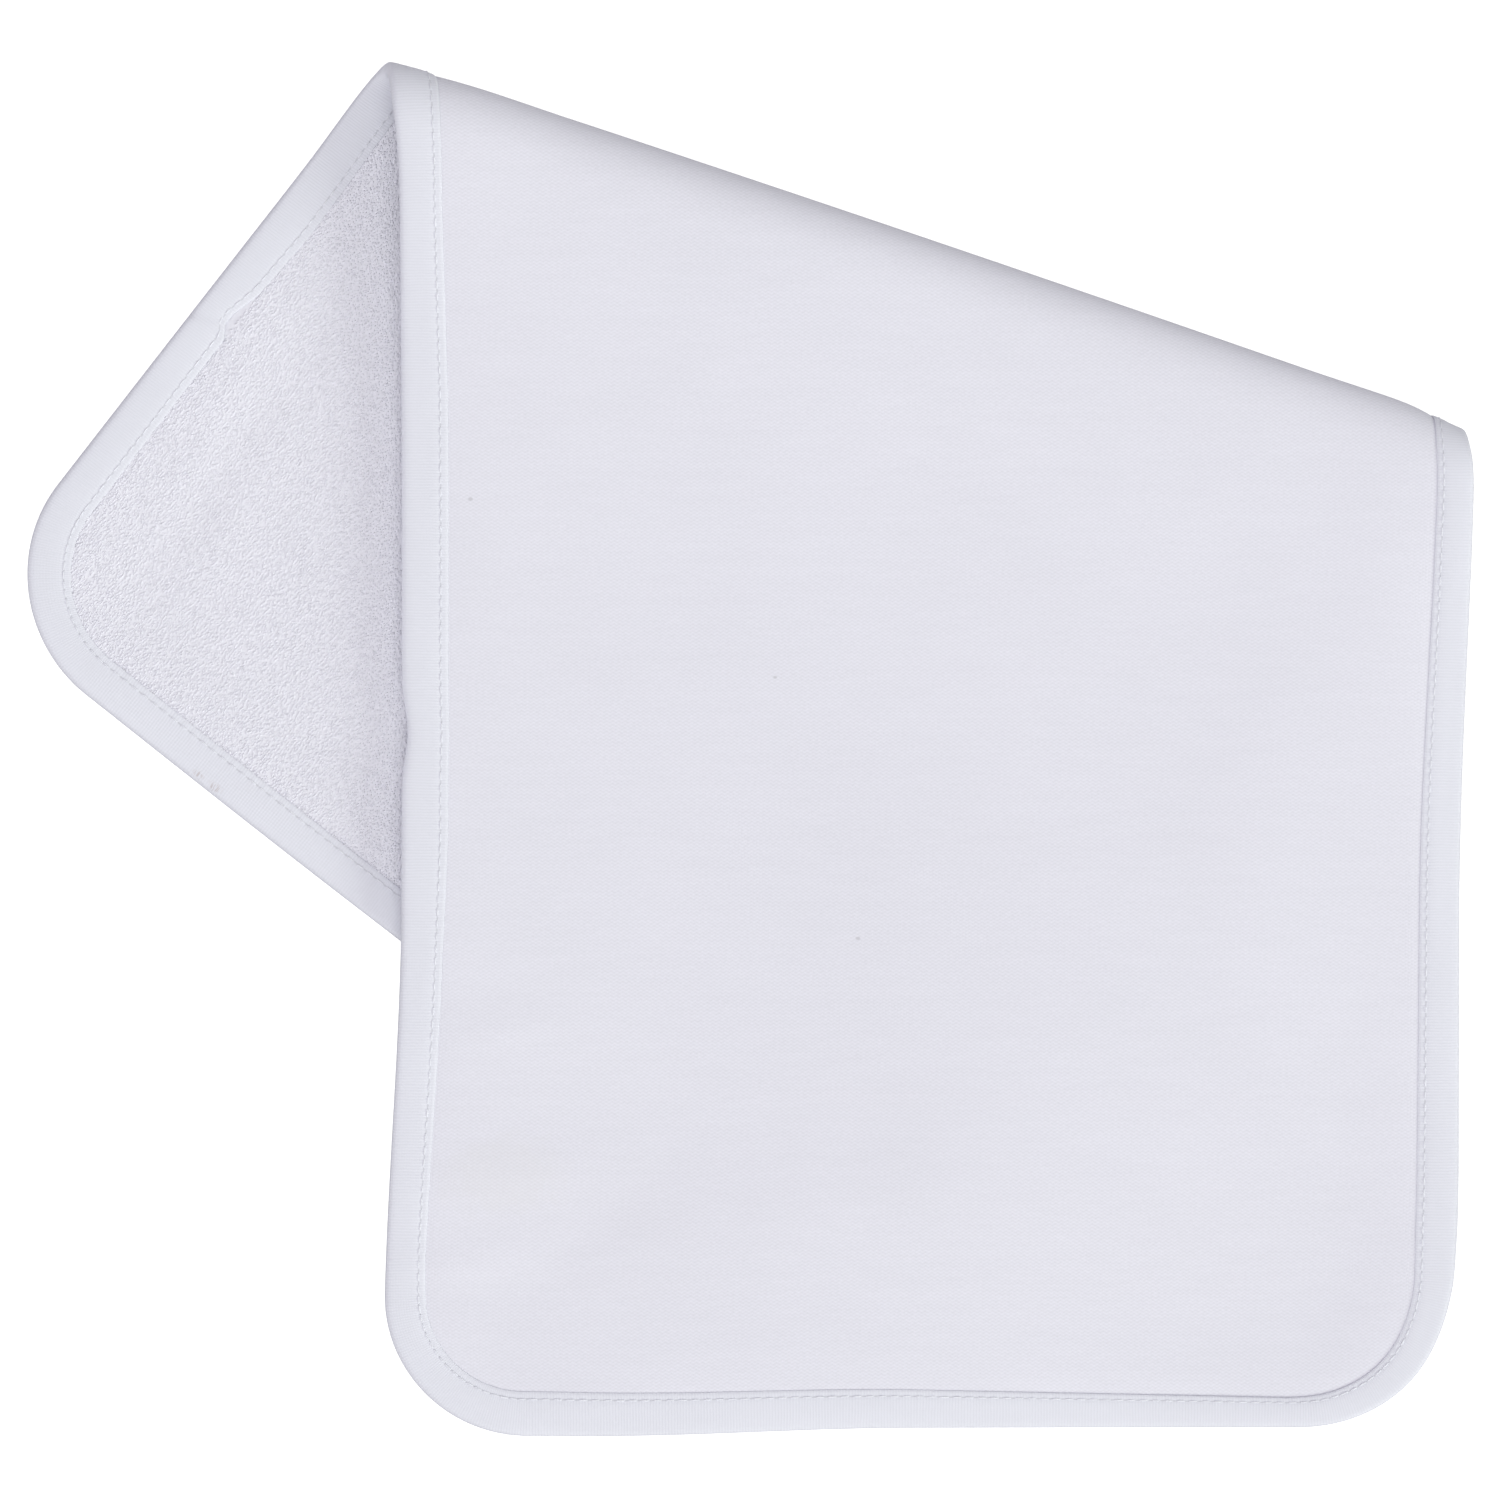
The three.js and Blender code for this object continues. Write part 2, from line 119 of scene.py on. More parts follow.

# %% [markdown]
# Creases
#
# Handling leaves soft ridges and troughs. Each is a long low hump, listed one by one: its middle, its
# angle from straight across, half its length, half its width and its height, below zero for a trough.

# %% Creases of the front and of the back layer
FRONT_RIDGES = [
    {"x": -58.7, "y": -66.7, "angle": 8, "length": 17, "width": 4.5, "height": 0.4},
    {"x": -52.7, "y": -100.3, "angle": 5, "length": 24, "width": 6.5, "height": 0.5},
    {"x": -64.7, "y": -120.5, "angle": 8, "length": 15, "width": 4.5, "height": 0.4},
    {"x": -62.3, "y": -135.4, "angle": -12, "length": 15, "width": 4.5, "height": 0.4},
    {"x": 19.3, "y": -108, "angle": 12, "length": 50, "width": 14, "height": 0.5},
    {"x": 152.5, "y": 33.6, "angle": 100, "length": 36, "width": 10, "height": 0.3},
]
BACK_RIDGES = [
    {"x": -137, "y": 65, "angle": 58, "length": 30, "width": 4.5, "height": 0.3},
    {"x": -124, "y": 57, "angle": 58, "length": 28, "width": 5, "height": 0.25},
]
print("Creases:", len(FRONT_RIDGES), "in the front layer and", len(BACK_RIDGES), "in the back layer")

# %% [markdown]
# Folding the cloth
#
# Cloth bends easily but hardly stretches, so a fold has to keep lengths. The flat cloth runs straight
# up to the fold, round an upper and a lower quarter of an ellipse, and straight back underneath.
# Measuring the length round those curves tells how far on a given point of the cloth has come.

# %% Small helpers
along = np.array([math.cos(FOLD_ANGLE), -math.sin(FOLD_ANGLE)])
outward = np.array([math.sin(FOLD_ANGLE), math.cos(FOLD_ANGLE)])
fold_start = np.array(FOLD_TIP) - UPPER_REACH * outward


def smoothstep(value, low, high):
    share = np.clip((value - low) / (high - low), 0, 1)
    return share * share * (3 - 2 * share)


def ease(value, start, end):
    """0 at start and 1 at end, whichever of the two is the greater."""
    return smoothstep(value, start, end) if start < end else 1 - smoothstep(value, end, start)


def mix(a, b, share):
    return a + (b - a) * share


def quarter_ellipse(reach, rise, steps=96):
    """Lengths along a quarter of an ellipse, and the angle at each."""
    angle = np.linspace(0, math.pi / 2, steps + 1)
    middle_angle = (angle[1:] + angle[:-1]) / 2
    speed = np.hypot(reach * np.cos(middle_angle), rise * np.sin(middle_angle))
    length = np.concatenate([[0], np.cumsum(speed) * math.pi / 2 / steps])
    return length, angle


upper_length, upper_angle = quarter_ellipse(UPPER_REACH, FOLD_TOP["left"] - TIP_Z)
lower_length, lower_angle = quarter_ellipse(LOWER_REACH, TIP_Z - FACE_TOP)
FOLD_LENGTH = upper_length[-1] + lower_length[-1]
print("Cloth taken up by the fold:", round(FOLD_LENGTH, 1), "mm")

# %% Where a flat point is: past the fold, along the fold, inside the outline
def fold_coordinates(x, y):
    dx = x - fold_start[0]
    dy = y - fold_start[1]
    return dx * outward[0] + dy * outward[1], dx * along[0] + dy * along[1]


def inset_from_edge(u, v):
    left = u < WIDTH / 2
    near = v < LENGTH / 2
    radius = np.where(
        near,
        np.where(left, CORNER["near_left"], CORNER["near_right"]),
        np.where(left, CORNER["far_left"], CORNER["far_right"]),
    )
    from_side = np.where(left, u, WIDTH - u)
    from_end = np.where(near, v, LENGTH - v)
    a = radius - from_side
    b = radius - from_end
    rounded = radius - np.hypot(a, b)
    return np.where((a > 0) & (b > 0), rounded, np.minimum(from_side, from_end))


def stray_by(row, v):
    return row["by"] * ease(v, row["from"], row["to"])


def stray_x(u, v):
    left = stray_by(STRAY["near_left"], v) + stray_by(STRAY["fold_left"], v)
    right = stray_by(STRAY["near_right"], v) + stray_by(STRAY["fold_right"], v)
    return mix(left, right, np.clip(u / WIDTH, 0, 1))


def stray_y(u, v):
    row = STRAY["near_edge"]
    return stray_by(row, v) * ease(u, row["end_u"], row["start_u"])


print("The middle is", float(inset_from_edge(WIDTH / 2, LENGTH / 2)), "mm inside the outline")

# %% [markdown]
# How high the cloth lies
#
# The back layer rests on the table. So does the front layer where nothing is under it. It climbs
# over the back layer's edge, and rises towards the roll of the fold.

# %% Heights of the two layers above the table
def ridge_height(ridges, x, y):
    height = np.zeros_like(x)
    for ridge in ridges:
        angle = math.radians(ridge["angle"])
        dx = x - ridge["x"]
        dy = y - ridge["y"]
        lengthwise = (dx * math.cos(angle) + dy * math.sin(angle)) / ridge["length"]
        across = (dy * math.cos(angle) - dx * math.sin(angle)) / ridge["width"]
        height += ridge["height"] * np.exp(-(lengthwise**2) - across**2)
    return height


def inset_from_back(x, y):
    """How far a point of the table lies inside the back layer's outline."""
    strayed = x
    for _ in range(3):
        past, on = fold_coordinates(strayed, y)
        flat_past = FOLD_LENGTH + UPPER_REACH - LOWER_REACH - past
        u = fold_start[0] + on * along[0] + flat_past * outward[0] - LEFT_X
        v = fold_start[1] + on * along[1] + flat_past * outward[1] - NEAR_Y
        inset = inset_from_edge(u, v)
        strayed = x - stray_x(u, v)
    return inset


def front_height(x, y, u, v):
    past, on = fold_coordinates(x, y)
    own_inset = inset_from_edge(u, v)
    on_floor = mix(BINDING_OUT, TERRY_TOP, smoothstep(own_inset, SAG["from"], SAG["to"]))
    away = smoothstep(own_inset, SAG["from"], OVER["inside_from"])
    over_binding = mix(OVER_BINDING["rim"], OVER_BINDING["inside"], away)
    over_pile = mix(OVER_PILE["rim"], OVER_PILE["inside"], away)
    inset = inset_from_back(x, y)
    over = mix(over_binding, over_pile, smoothstep(inset, OVER["binding_to"], OVER["pile_from"]))
    lying = mix(on_floor, over, smoothstep(inset, OVER["slope_from"], OVER["binding_from"]))
    turned = smoothstep(on, FOLD_TOP["left_on"], FOLD_TOP["right_on"])
    top = mix(FOLD_TOP["left"], FOLD_TOP["right"], turned)
    inside = smoothstep(own_inset, LOFT_SPREAD["from"], LOFT_SPREAD["to"])
    spread = mix(LOFT_SPREAD["edge"], LOFT_SPREAD["inside"], inside)
    rise = (top - over) * np.exp(-((past / spread) ** 2))
    return lying + np.maximum(rise, 0) + ridge_height(FRONT_RIDGES, x, y)


def back_height(x, y, u, v):
    sag = smoothstep(inset_from_edge(u, v), SAG["from"], SAG["to"])
    return mix(BINDING_OUT, FACE_TOP, sag) + ridge_height(BACK_RIDGES, x, y)


# %% [markdown]
# From flat to folded
#
# One function folds the middle of the cloth. Every surface, stitch and loop is then a height off
# that middle, along its own way out, so all of them bend together and never cross.

# %% From the flat cloth to its folded place
def drawn_in(x, y):
    moved_x, moved_y = x.copy(), y.copy()
    for pull in DRAWN_IN:
        distance = np.hypot(x - pull["x"], y - pull["y"]) / pull["spread"]
        share = np.exp(-distance * distance)
        moved_x += share * pull["move_x"]
        moved_y += share * pull["move_y"]
    return moved_x, moved_y


def middle(u, v):
    """A flat point of the middle of the cloth, folded and laid in place."""
    flat_x = LEFT_X + u
    flat_y = NEAR_Y + v
    past, on = fold_coordinates(flat_x, flat_y)
    start_x = fold_start[0] + on * along[0]
    start_y = fold_start[1] + on * along[1]
    front = past <= 0
    rounding = past < upper_length[-1]
    back = past >= FOLD_LENGTH
    over_angle = np.interp(past, upper_length, upper_angle)
    under_angle = np.interp(FOLD_LENGTH - past, lower_length, lower_angle)
    reach_over = UPPER_REACH * np.sin(over_angle)
    reach_under = UPPER_REACH - LOWER_REACH * (1 - np.sin(under_angle))
    reach_back = UPPER_REACH - LOWER_REACH - (past - FOLD_LENGTH)
    reach = np.select([front, rounding, back], [past, reach_over, reach_back], reach_under)
    half = WIDTH / 2 / math.cos(FOLD_ANGLE)
    bow = FOLD_BOW * (on / half) ** 2 * np.exp(-((past / BOW_SPREAD) ** 2))
    x = start_x + (reach - bow) * outward[0] + stray_x(u, v)
    y = start_y + (reach - bow) * outward[1] + stray_y(u, v)
    top = front_height(start_x, start_y, u, v)
    bottom = back_height(start_x, start_y, u, v)
    z_over = TIP_Z + (top - TIP_Z) * np.cos(over_angle)
    z_under = TIP_Z - (TIP_Z - bottom) * np.cos(under_angle)
    z_front = front_height(flat_x, flat_y, u, v)
    z_back = back_height(x, y, u, v)
    z = np.select([front, rounding, back], [z_front, z_over, z_back], z_under)
    x, y = drawn_in(x, y)
    return np.stack([x, y, z], axis=-1)


# %% The surface and its way out
def surface(u, v):
    """Middle of the cloth, the way out of its smooth side, and the way along the cloth."""
    step = 0.05
    across = middle(u + step, v) - middle(u - step, v)
    lengthwise = middle(u, v + step) - middle(u, v - step)
    normal = np.cross(across, lengthwise)
    normal /= np.linalg.norm(normal, axis=-1, keepdims=True)
    return middle(u, v), normal, lengthwise / (2 * step)


def place(u, v, h):
    """A point h above the middle of the cloth, on its smooth side."""
    centre, normal, _ = surface(u, v)
    return centre + normal * np.asarray(h)[..., None]


FLAT_MIDDLE = (np.array([WIDTH / 2]), np.array([LENGTH / 2]))
print("The middle of the cloth ends up at", np.round(place(*FLAT_MIDDLE, 0)[0], 1).tolist(), "mm")

# %% [markdown]
# Making meshes
#
# A piece of cloth is a thin closed slab: one grid of points for each side, joined at the rim.
# Each point also keeps its place on the flat cloth as a UV in metres, so a knit or a weave
# drawn on that UV bends with the cloth and keeps its true size.

# %% Mesh helpers
def make_object(name, points, faces, uv):
    mesh = bpy.data.meshes.new(name)
    mesh.from_pydata((points * MM).tolist(), [], faces.tolist())
    layer = mesh.uv_layers.new(name="flat")
    layer.data.foreach_set("uv", uv.astype(np.float32).ravel())
    mesh.shade_smooth()
    mesh.update()
    made = bpy.data.objects.new(name, mesh)
    bpy.context.scene.collection.objects.link(made)
    return made


def grid_quads(rows, columns):
    """Corner numbers of the quads of a grid whose points are numbered row by row."""
    j, i = np.meshgrid(np.arange(rows - 1), np.arange(columns - 1), indexing="ij")
    first = (j * columns + i).ravel()
    return np.stack([first, first + 1, first + columns + 1, first + columns], axis=1)


def grid_rim(rows, columns):
    """The grid's border points, once round, anticlockwise."""
    near = np.arange(columns)
    right = np.arange(1, rows) * columns + columns - 1
    far = (rows - 1) * columns + np.arange(columns - 2, -1, -1)
    left = np.arange(rows - 2, 0, -1) * columns
    return np.concatenate([near, right, far, left])


def slab(name, u, v, top, bottom):
    """A thin closed sheet over a grid of flat points, between two heights."""
    rows, columns = u.shape
    points = np.concatenate([place(u, v, top).reshape(-1, 3), place(u, v, bottom).reshape(-1, 3)])
    upper_faces = grid_quads(rows, columns)
    lower_faces = upper_faces[:, ::-1] + rows * columns
    rim = grid_rim(rows, columns)
    onward = np.roll(rim, -1)
    walls = np.stack([rim + rows * columns, onward + rows * columns, onward, rim], axis=1)
    faces = np.concatenate([upper_faces, lower_faces, walls])
    flat = np.stack([u.ravel(), v.ravel()], axis=1) * MM
    return make_object(name, points, faces, np.concatenate([flat, flat])[faces.ravel()])


# %% [markdown]
# The panels' grid
#
# Both panels share one grid of flat points. Its rows lie level at both ends and slant with the fold
# between them, so the cloth rolls over along whole rows, and stays smooth with fewer points.

# %% A grid of flat points that fills the outline
COLUMN_STEP = 2.3
ROW_STEP = 2.1
SLANT_FROM = 60
SLANT_FULL = 170


def panel_grid():
    """Rows of points from raw edge to raw edge, level at both ends and slanted along the fold."""
    rows = int((LENGTH - 2 * RAW_EDGE) / ROW_STEP)
    columns = int((WIDTH - 2 * RAW_EDGE) / COLUMN_STEP)
    v_middle = np.linspace(RAW_EDGE, LENGTH - RAW_EDGE, rows)[:, None]
    near_slant = ease(v_middle, SLANT_FROM, SLANT_FULL)
    far_slant = ease(v_middle, LENGTH - SLANT_FROM, LENGTH - SLANT_FULL)
    share = np.linspace(0, 1, columns)[None, :]
    left = corner_room(v_middle, CORNER["near_left"], CORNER["far_left"])
    right = corner_room(v_middle, CORNER["near_right"], CORNER["far_right"])
    u = mix(left, WIDTH - right, share)
    v = v_middle + near_slant * far_slant * math.tan(FOLD_ANGLE) * (WIDTH / 2 - u)
    return u, v


def corner_room(v, near_radius, far_radius):
    """How far in from the side a row has to start, at the rounded corners and between them."""
    room = np.full_like(v, RAW_EDGE)
    for radius, from_end in ((near_radius, v), (far_radius, LENGTH - v)):
        reach = radius - RAW_EDGE
        height = np.clip(radius - from_end, 0, reach)
        room = np.maximum(room, radius - np.sqrt(reach**2 - height**2))
    return room


panel_u, panel_v = panel_grid()
panel_inset = inset_from_edge(panel_u, panel_v)
print("Panel grid:", panel_u.shape, "lowest inset", round(float(panel_inset.min()), 2))

# %% [markdown]
# The two panels
#
# The smooth panel swells a little where it comes out from under the binding, because the
# topstitching pulls the layers together there. On the other side the terry's ground thickens into
# its pile once it is clear of the binding. Both are thin slabs, a hair apart.

# %% The smooth knitted panel and the terry panel
PUFF_START = 5
PUFF_PEAK = 10.5
PUFF_END = 42
FACE_PUFF = 0.4
GROUND = 0.95
PILE_DEPTH = 0.45
PILE_START = 7.5
PILE_FULL = 10.5
HALF_GAP = 0.15


def puff(inset):
    return ease(inset, PUFF_START, PUFF_PEAK) * ease(inset, PUFF_END, PUFF_PEAK)


def pile_height(inset):
    return GROUND + PILE_DEPTH * ease(inset, PILE_START, PILE_FULL)


face_height = FACE_TOP + FACE_PUFF * puff(panel_inset)
smooth_panel = slab("smooth_panel", panel_u, panel_v, face_height, HALF_GAP)
terry_panel = slab("terry_ground", panel_u, panel_v, -HALF_GAP, -pile_height(panel_inset))
print("Panels:", len(smooth_panel.data.polygons), "faces each")

# %% [markdown]
# The binding
#
# The tape wraps round the raw edge, so its section is a C. The lockstitch that holds it pulls a
# shallow groove near its inner edge, with a small roll of free tape beyond. Its width isn't even:
# it runs from 7 to 11 mm on the smooth side, and from 8 to 11 mm on the terry side. A bevelled
# curve would be quicker, but it can't change its width on one side alone, so code sweeps the section.

# %% The outline as a line of stations
STITCH = 2.95
STATIONS_PER_STITCH = 4


def outline_stations():
    """Points round the outline, anticlockwise from the near edge's left end, and the way inwards."""
    nl, nr, fr, fl = (CORNER[k] for k in ("near_left", "near_right", "far_right", "far_left"))
    corners = [
        (nl, 0, WIDTH - nr, 0, WIDTH - nr, nr, nr, -90),
        (WIDTH, nr, WIDTH, LENGTH - fr, WIDTH - fr, LENGTH - fr, fr, 0),
        (WIDTH - fr, LENGTH, fl, LENGTH, fl, LENGTH - fl, fl, 90),
        (0, LENGTH - fl, 0, nl, nl, nl, nl, 180),
    ]
    around = sum(math.hypot(c[2] - c[0], c[3] - c[1]) + math.pi / 2 * c[6] for c in corners)
    count = int(around / STITCH) * STATIONS_PER_STITCH
    at = np.arange(count) * around / count
    u, v, in_u, in_v = (np.zeros(count) for _ in range(4))
    passed = 0.0
    side_starts = []
    for u0, v0, u1, v1, cu, cv, radius, turn in corners:
        side_starts.append(passed)
        straight = math.hypot(u1 - u0, v1 - v0)
        on = (at >= passed) & (at < passed + straight)
        share = (at[on] - passed) / straight
        u[on], v[on] = mix(u0, u1, share), mix(v0, v1, share)
        in_u[on], in_v[on] = -(v1 - v0) / straight, (u1 - u0) / straight
        passed += straight
        arc = math.pi / 2 * radius
        on = (at >= passed) & (at < passed + arc)
        angle = math.radians(turn) + (at[on] - passed) / radius
        u[on], v[on] = cu + radius * np.cos(angle), cv + radius * np.sin(angle)
        in_u[on], in_v[on] = -np.cos(angle), -np.sin(angle)
        passed += arc
    return {"at": at, "u": u, "v": v, "in_u": in_u, "in_v": in_v, "around": around, "sides": side_starts}


edge = outline_stations()
STITCH_COUNT = len(edge["at"]) // STATIONS_PER_STITCH
print("The binding is", round(edge["around"]), "mm round, with", STITCH_COUNT, "stitches a side")

# %% Widths of the binding, side by side
# Each row is a side of the cloth, how far along it, anticlockwise, and the width there.
FACE_WIDTHS = [
    ("near", 0, 11), ("near", 90, 9.5), ("near", 180, 7.2),
    ("right", 10, 10.2), ("right", 110, 9.8), ("right", 190, 8.8),
    ("far", 60, 10), ("left", 40, 10.3), ("left", 170, 10.2),
    ("left", 215, 11.3), ("left", 320, 11.3), ("left", 350, 10.2), ("left", 420, 9.6),
]
TERRY_WIDTHS = [
    ("near", 60, 10), ("right", 60, 10), ("right", 320, 10), ("far", 60, 10),
    ("left", 0, 10.6), ("left", 27, 10.4), ("left", 53, 10.2), ("left", 56, 8.2), ("left", 59, 8.1),
    ("left", 67, 10.2), ("left", 85, 11.2), ("left", 115, 10.6), ("left", 300, 10),
]
SIDES = {"near": 0, "right": 1, "far": 2, "left": 3}


def width_along(table, at):
    places = [edge["sides"][SIDES[side]] + on for side, on, _ in table]
    return np.interp(at, places, [width for _, _, width in table], period=edge["around"])


face_width = width_along(FACE_WIDTHS, edge["at"])
print("Width on the smooth side:", round(face_width.min(), 1), "to", round(face_width.max(), 1), "mm")

# %% The binding's section
# Share of the width in from the outer edge, and height off the middle of the cloth on the smooth
# side and on the terry side.
ROLL = [
    (0.015, 0.95, 0.9), (0.035, 1.42, 1.38), (0.065, 1.76, 1.72), (0.12, 1.93, 1.92),
    (0.22, 2.01, 2.01), (0.42, 2.04, 2.05), (0.6, 2.03, 2.03), (0.72, 1.98, 1.97),
    (0.79, 1.89, 1.87), (0.83, 1.77, 1.76), (0.87, 1.77, 1.73), (0.92, 1.74, 1.71),
    (0.96, 1.65, 1.63), (0.985, 1.53, 1.55), (1.0, 1.38, 1.44), (0.985, 1.22, 1.25),
]
LINING = [(0.75, 1.1), (0.4, 1.1), (0.18, 0.95)]
STITCH_LINE = 0.83
STITCH_DEPTH = {"smooth": 1.83, "terry": 1.82}
PUCKER = 0.03
SCALLOP = {"at": 0.92, "spread": 0.05, "height": 0.05}
STITCH_SPREAD = 0.08
HOLLOW_END = 1.5
LAP = {"at": 54.5, "slant": 0.5, "middle": 5, "step": 0.4, "rise": 0.25, "full": 4, "fade": 22, "rim": 0.03}


def lap_rise(at, inset):
    """The binding's ends overlap on the flap's terry side: the upper one starts at a slanting line."""
    start = edge["sides"][SIDES["left"]] + LAP["at"] + LAP["slant"] * (inset - LAP["middle"])
    before = start - at
    stepped_up = ease(before, -LAP["step"], LAP["step"])
    return LAP["rise"] * stepped_up * ease(before, LAP["fade"], LAP["full"])


def binding_section(side):
    """Points and heights of one side of the section at every station: in from the edge, and h."""
    at = edge["at"]
    width = width_along(FACE_WIDTHS if side > 0 else TERRY_WIDTHS, at)
    phase = np.cos(2 * math.pi * at / edge["around"] * STITCH_COUNT)
    section = []
    for share, face_height, terry_height in ROLL:
        inset = share * width
        height = face_height if side > 0 else terry_height
        near_stitch = np.exp(-(((share - STITCH_LINE) / STITCH_SPREAD) ** 2))
        h = height - PUCKER * near_stitch * phase
        if side < 0:
            free_roll = np.exp(-(((share - SCALLOP["at"]) / SCALLOP["spread"]) ** 2))
            h = h - SCALLOP["height"] * free_roll * phase
            h = h + lap_rise(at, inset) * (share > LAP["rim"])
        section.append((inset, side * h))
    for share, height in LINING:
        section.append((share * width, np.full_like(at, side * height)))
    return section


# %% Sweep the section round the outline
def make_binding():
    stitch_row = [row[0] for row in ROLL].index(STITCH_LINE)
    face_side = binding_section(1)
    terry_side = binding_section(-1)
    zero = np.zeros_like(edge["at"])
    inner = [(zero + HOLLOW_END, zero)]
    section = [(zero, zero)] + terry_side + inner + face_side[::-1]
    inset = np.stack([s[0] for s in section], axis=1)
    h = np.stack([s[1] for s in section], axis=1)
    u = edge["u"][:, None] + edge["in_u"][:, None] * inset
    v = edge["v"][:, None] + edge["in_v"][:, None] * inset
    stations, count = inset.shape
    points = place(u, v, h).reshape(-1, 3)
    k, m = np.meshgrid(np.arange(stations), np.arange(count), indexing="ij")
    here, onward = (k * count).ravel(), ((k + 1) % stations * count).ravel()
    m, n = m.ravel(), ((m + 1) % count).ravel()
    faces = np.stack([here + m, here + n, onward + n, onward + m], axis=1)
    reach = np.concatenate([[0], np.cumsum(np.hypot(np.diff(inset[0]), np.diff(h[0])))])
    girth = reach[-1] + math.hypot(inset[0, 0] - inset[0, -1], h[0, 0] - h[0, -1])
    step = edge["around"] / stations
    low, high = k.ravel() * step, (k.ravel() + 1) * step
    across, across_next = reach[m], np.append(reach, girth)[m + 1]
    uv = np.stack([low, across, low, across_next, high, across_next, high, across], axis=1) * MM
    rows = [-stitch_row - 1, stitch_row + 1]
    ends = [-len(ROLL), len(ROLL)]
    lines = {"stitch": reach[rows] * MM, "edge": reach[ends] * MM}
    return make_object("binding_tape", points, faces, uv), lines


binding, tape_lines = make_binding()
print("Binding:", len(binding.data.polygons), "faces")

# %% [markdown]
# Repeating small things
#
# Stitches and terry loops are thousands of copies of one small tube. Geometry Nodes sets a copy
# on every point of a mesh, turned along the cloth and out of it, each a little larger or smaller,
# and then makes them real. Setting them one by one in code would be slower and harder to change.

# %% A helper for node trees
def add(tree, kind, inputs=None, **settings):
    """A new node with its settings. An input given as another node's output is linked to it."""
    node = tree.nodes.new(kind)
    for key, value in settings.items():
        setattr(node, key, value)
    for key, value in (inputs or {}).items():
        if isinstance(value, bpy.types.NodeSocket):
            tree.links.new(value, node.inputs[key])
        else:
            node.inputs[key].default_value = value
    return node


# %% A node group that sets a small tube on every point
GROUP_INPUTS = {
    "Geometry": "NodeSocketGeometry",
    "Tube": "NodeSocketObject",
    "Smallest": "NodeSocketFloat",
    "Largest": "NodeSocketFloat",
    "Seed": "NodeSocketInt",
    "Material": "NodeSocketMaterial",
}


def repeat_group():
    group = bpy.data.node_groups.new("set_on_points", "GeometryNodeTree")
    for name, kind in GROUP_INPUTS.items():
        group.interface.new_socket(name, in_out="INPUT", socket_type=kind)
    group.interface.new_socket("Geometry", in_out="OUTPUT", socket_type="NodeSocketGeometry")
    given = add(group, "NodeGroupInput").outputs
    tube = add(group, "GeometryNodeObjectInfo", {"Object": given["Tube"]})
    rotation = {}
    for attribute, axis, pivot in (("along", "X", "AUTO"), ("out", "Z", "X")):
        read = add(group, "GeometryNodeInputNamedAttribute", {"Name": attribute}, data_type="FLOAT_VECTOR")
        inputs = {"Vector": read.outputs["Attribute"], **rotation}
        turn = add(group, "FunctionNodeAlignRotationToVector", inputs, axis=axis, pivot_axis=pivot)
        rotation = {"Rotation": turn.outputs["Rotation"]}
    sizes = {2: given["Smallest"], 3: given["Largest"], "Seed": given["Seed"]}
    size = add(group, "FunctionNodeRandomValue", sizes, data_type="FLOAT")
    what = {"Instance": tube.outputs["Geometry"], "Scale": size.outputs[1], **rotation}
    copies = add(group, "GeometryNodeInstanceOnPoints", {"Points": given["Geometry"], **what})
    real = add(group, "GeometryNodeRealizeInstances", {"Geometry": copies.outputs["Instances"]})
    coating = {"Geometry": real.outputs["Geometry"], "Material": given["Material"]}
    coat = add(group, "GeometryNodeSetMaterial", coating)
    add(group, "NodeGroupOutput", {"Geometry": coat.outputs["Geometry"]})
    return group


SET_ON_POINTS = repeat_group()
print("Node group", SET_ON_POINTS.name, "has", len(SET_ON_POINTS.nodes), "nodes")

# %% A small tube, and copies of it on points
END_GIRTH = 0.45


def small_tube(name, length, height, radius, sides, segments, flatness=1.0):
    """A bowed tube along X, closed at both ends, that rises to height in its middle."""
    share = np.linspace(0, 1, segments + 1)
    angle = np.linspace(0, 2 * math.pi, sides, endpoint=False) + math.pi / sides
    taper = END_GIRTH + (1 - END_GIRTH) * np.sin(math.pi * share) ** 0.5
    points = []
    for s, t in zip(share, taper):
        x = (s - 0.5) * length
        z = height * math.sin(math.pi * s)
        girth = radius * t
        points += [(x, girth * math.cos(a), z + flatness * girth * math.sin(a)) for a in angle]
    faces = []
    for j in range(segments):
        for i in range(sides):
            a, b = j * sides + i, j * sides + (i + 1) % sides
            faces.append((a, b, b + sides, a + sides))
    first, last = list(range(sides)), list(range(segments * sides, (segments + 1) * sides))
    mesh = bpy.data.meshes.new(name)
    mesh.from_pydata((np.array(points) * MM).tolist(), [], [*faces, first[::-1], last])
    mesh.shade_smooth()
    mesh.update()
    return bpy.data.objects.new(name, mesh)


def set_on_points(name, points, lengthwise, out, tube, smallest, largest, seed, material):
    mesh = bpy.data.meshes.new(name)
    mesh.from_pydata((points * MM).tolist(), [], [])
    for key, values in (("along", lengthwise), ("out", out)):
        layer = mesh.attributes.new(key, "FLOAT_VECTOR", "POINT")
        layer.data.foreach_set("vector", values.astype(np.float32).ravel())
    holder = bpy.data.objects.new(name, mesh)
    bpy.context.scene.collection.objects.link(holder)
    bpy.context.scene.collection.objects.link(tube)
    modifier = holder.modifiers.new("copies", "NODES")
    modifier.node_group = SET_ON_POINTS
    wanted = {"Tube": tube, "Smallest": smallest, "Largest": largest, "Seed": seed, "Material": material}
    for item in SET_ON_POINTS.interface.items_tree:
        if item.in_out == "INPUT" and item.name in wanted:
            modifier[item.identifier] = wanted[item.name]
    graph = bpy.context.evaluated_depsgraph_get()
    real = bpy.data.meshes.new_from_object(holder.evaluated_get(graph), depsgraph=graph)
    holder.modifiers.remove(modifier)
    holder.data = real
    bpy.data.objects.remove(tube)
    return holder


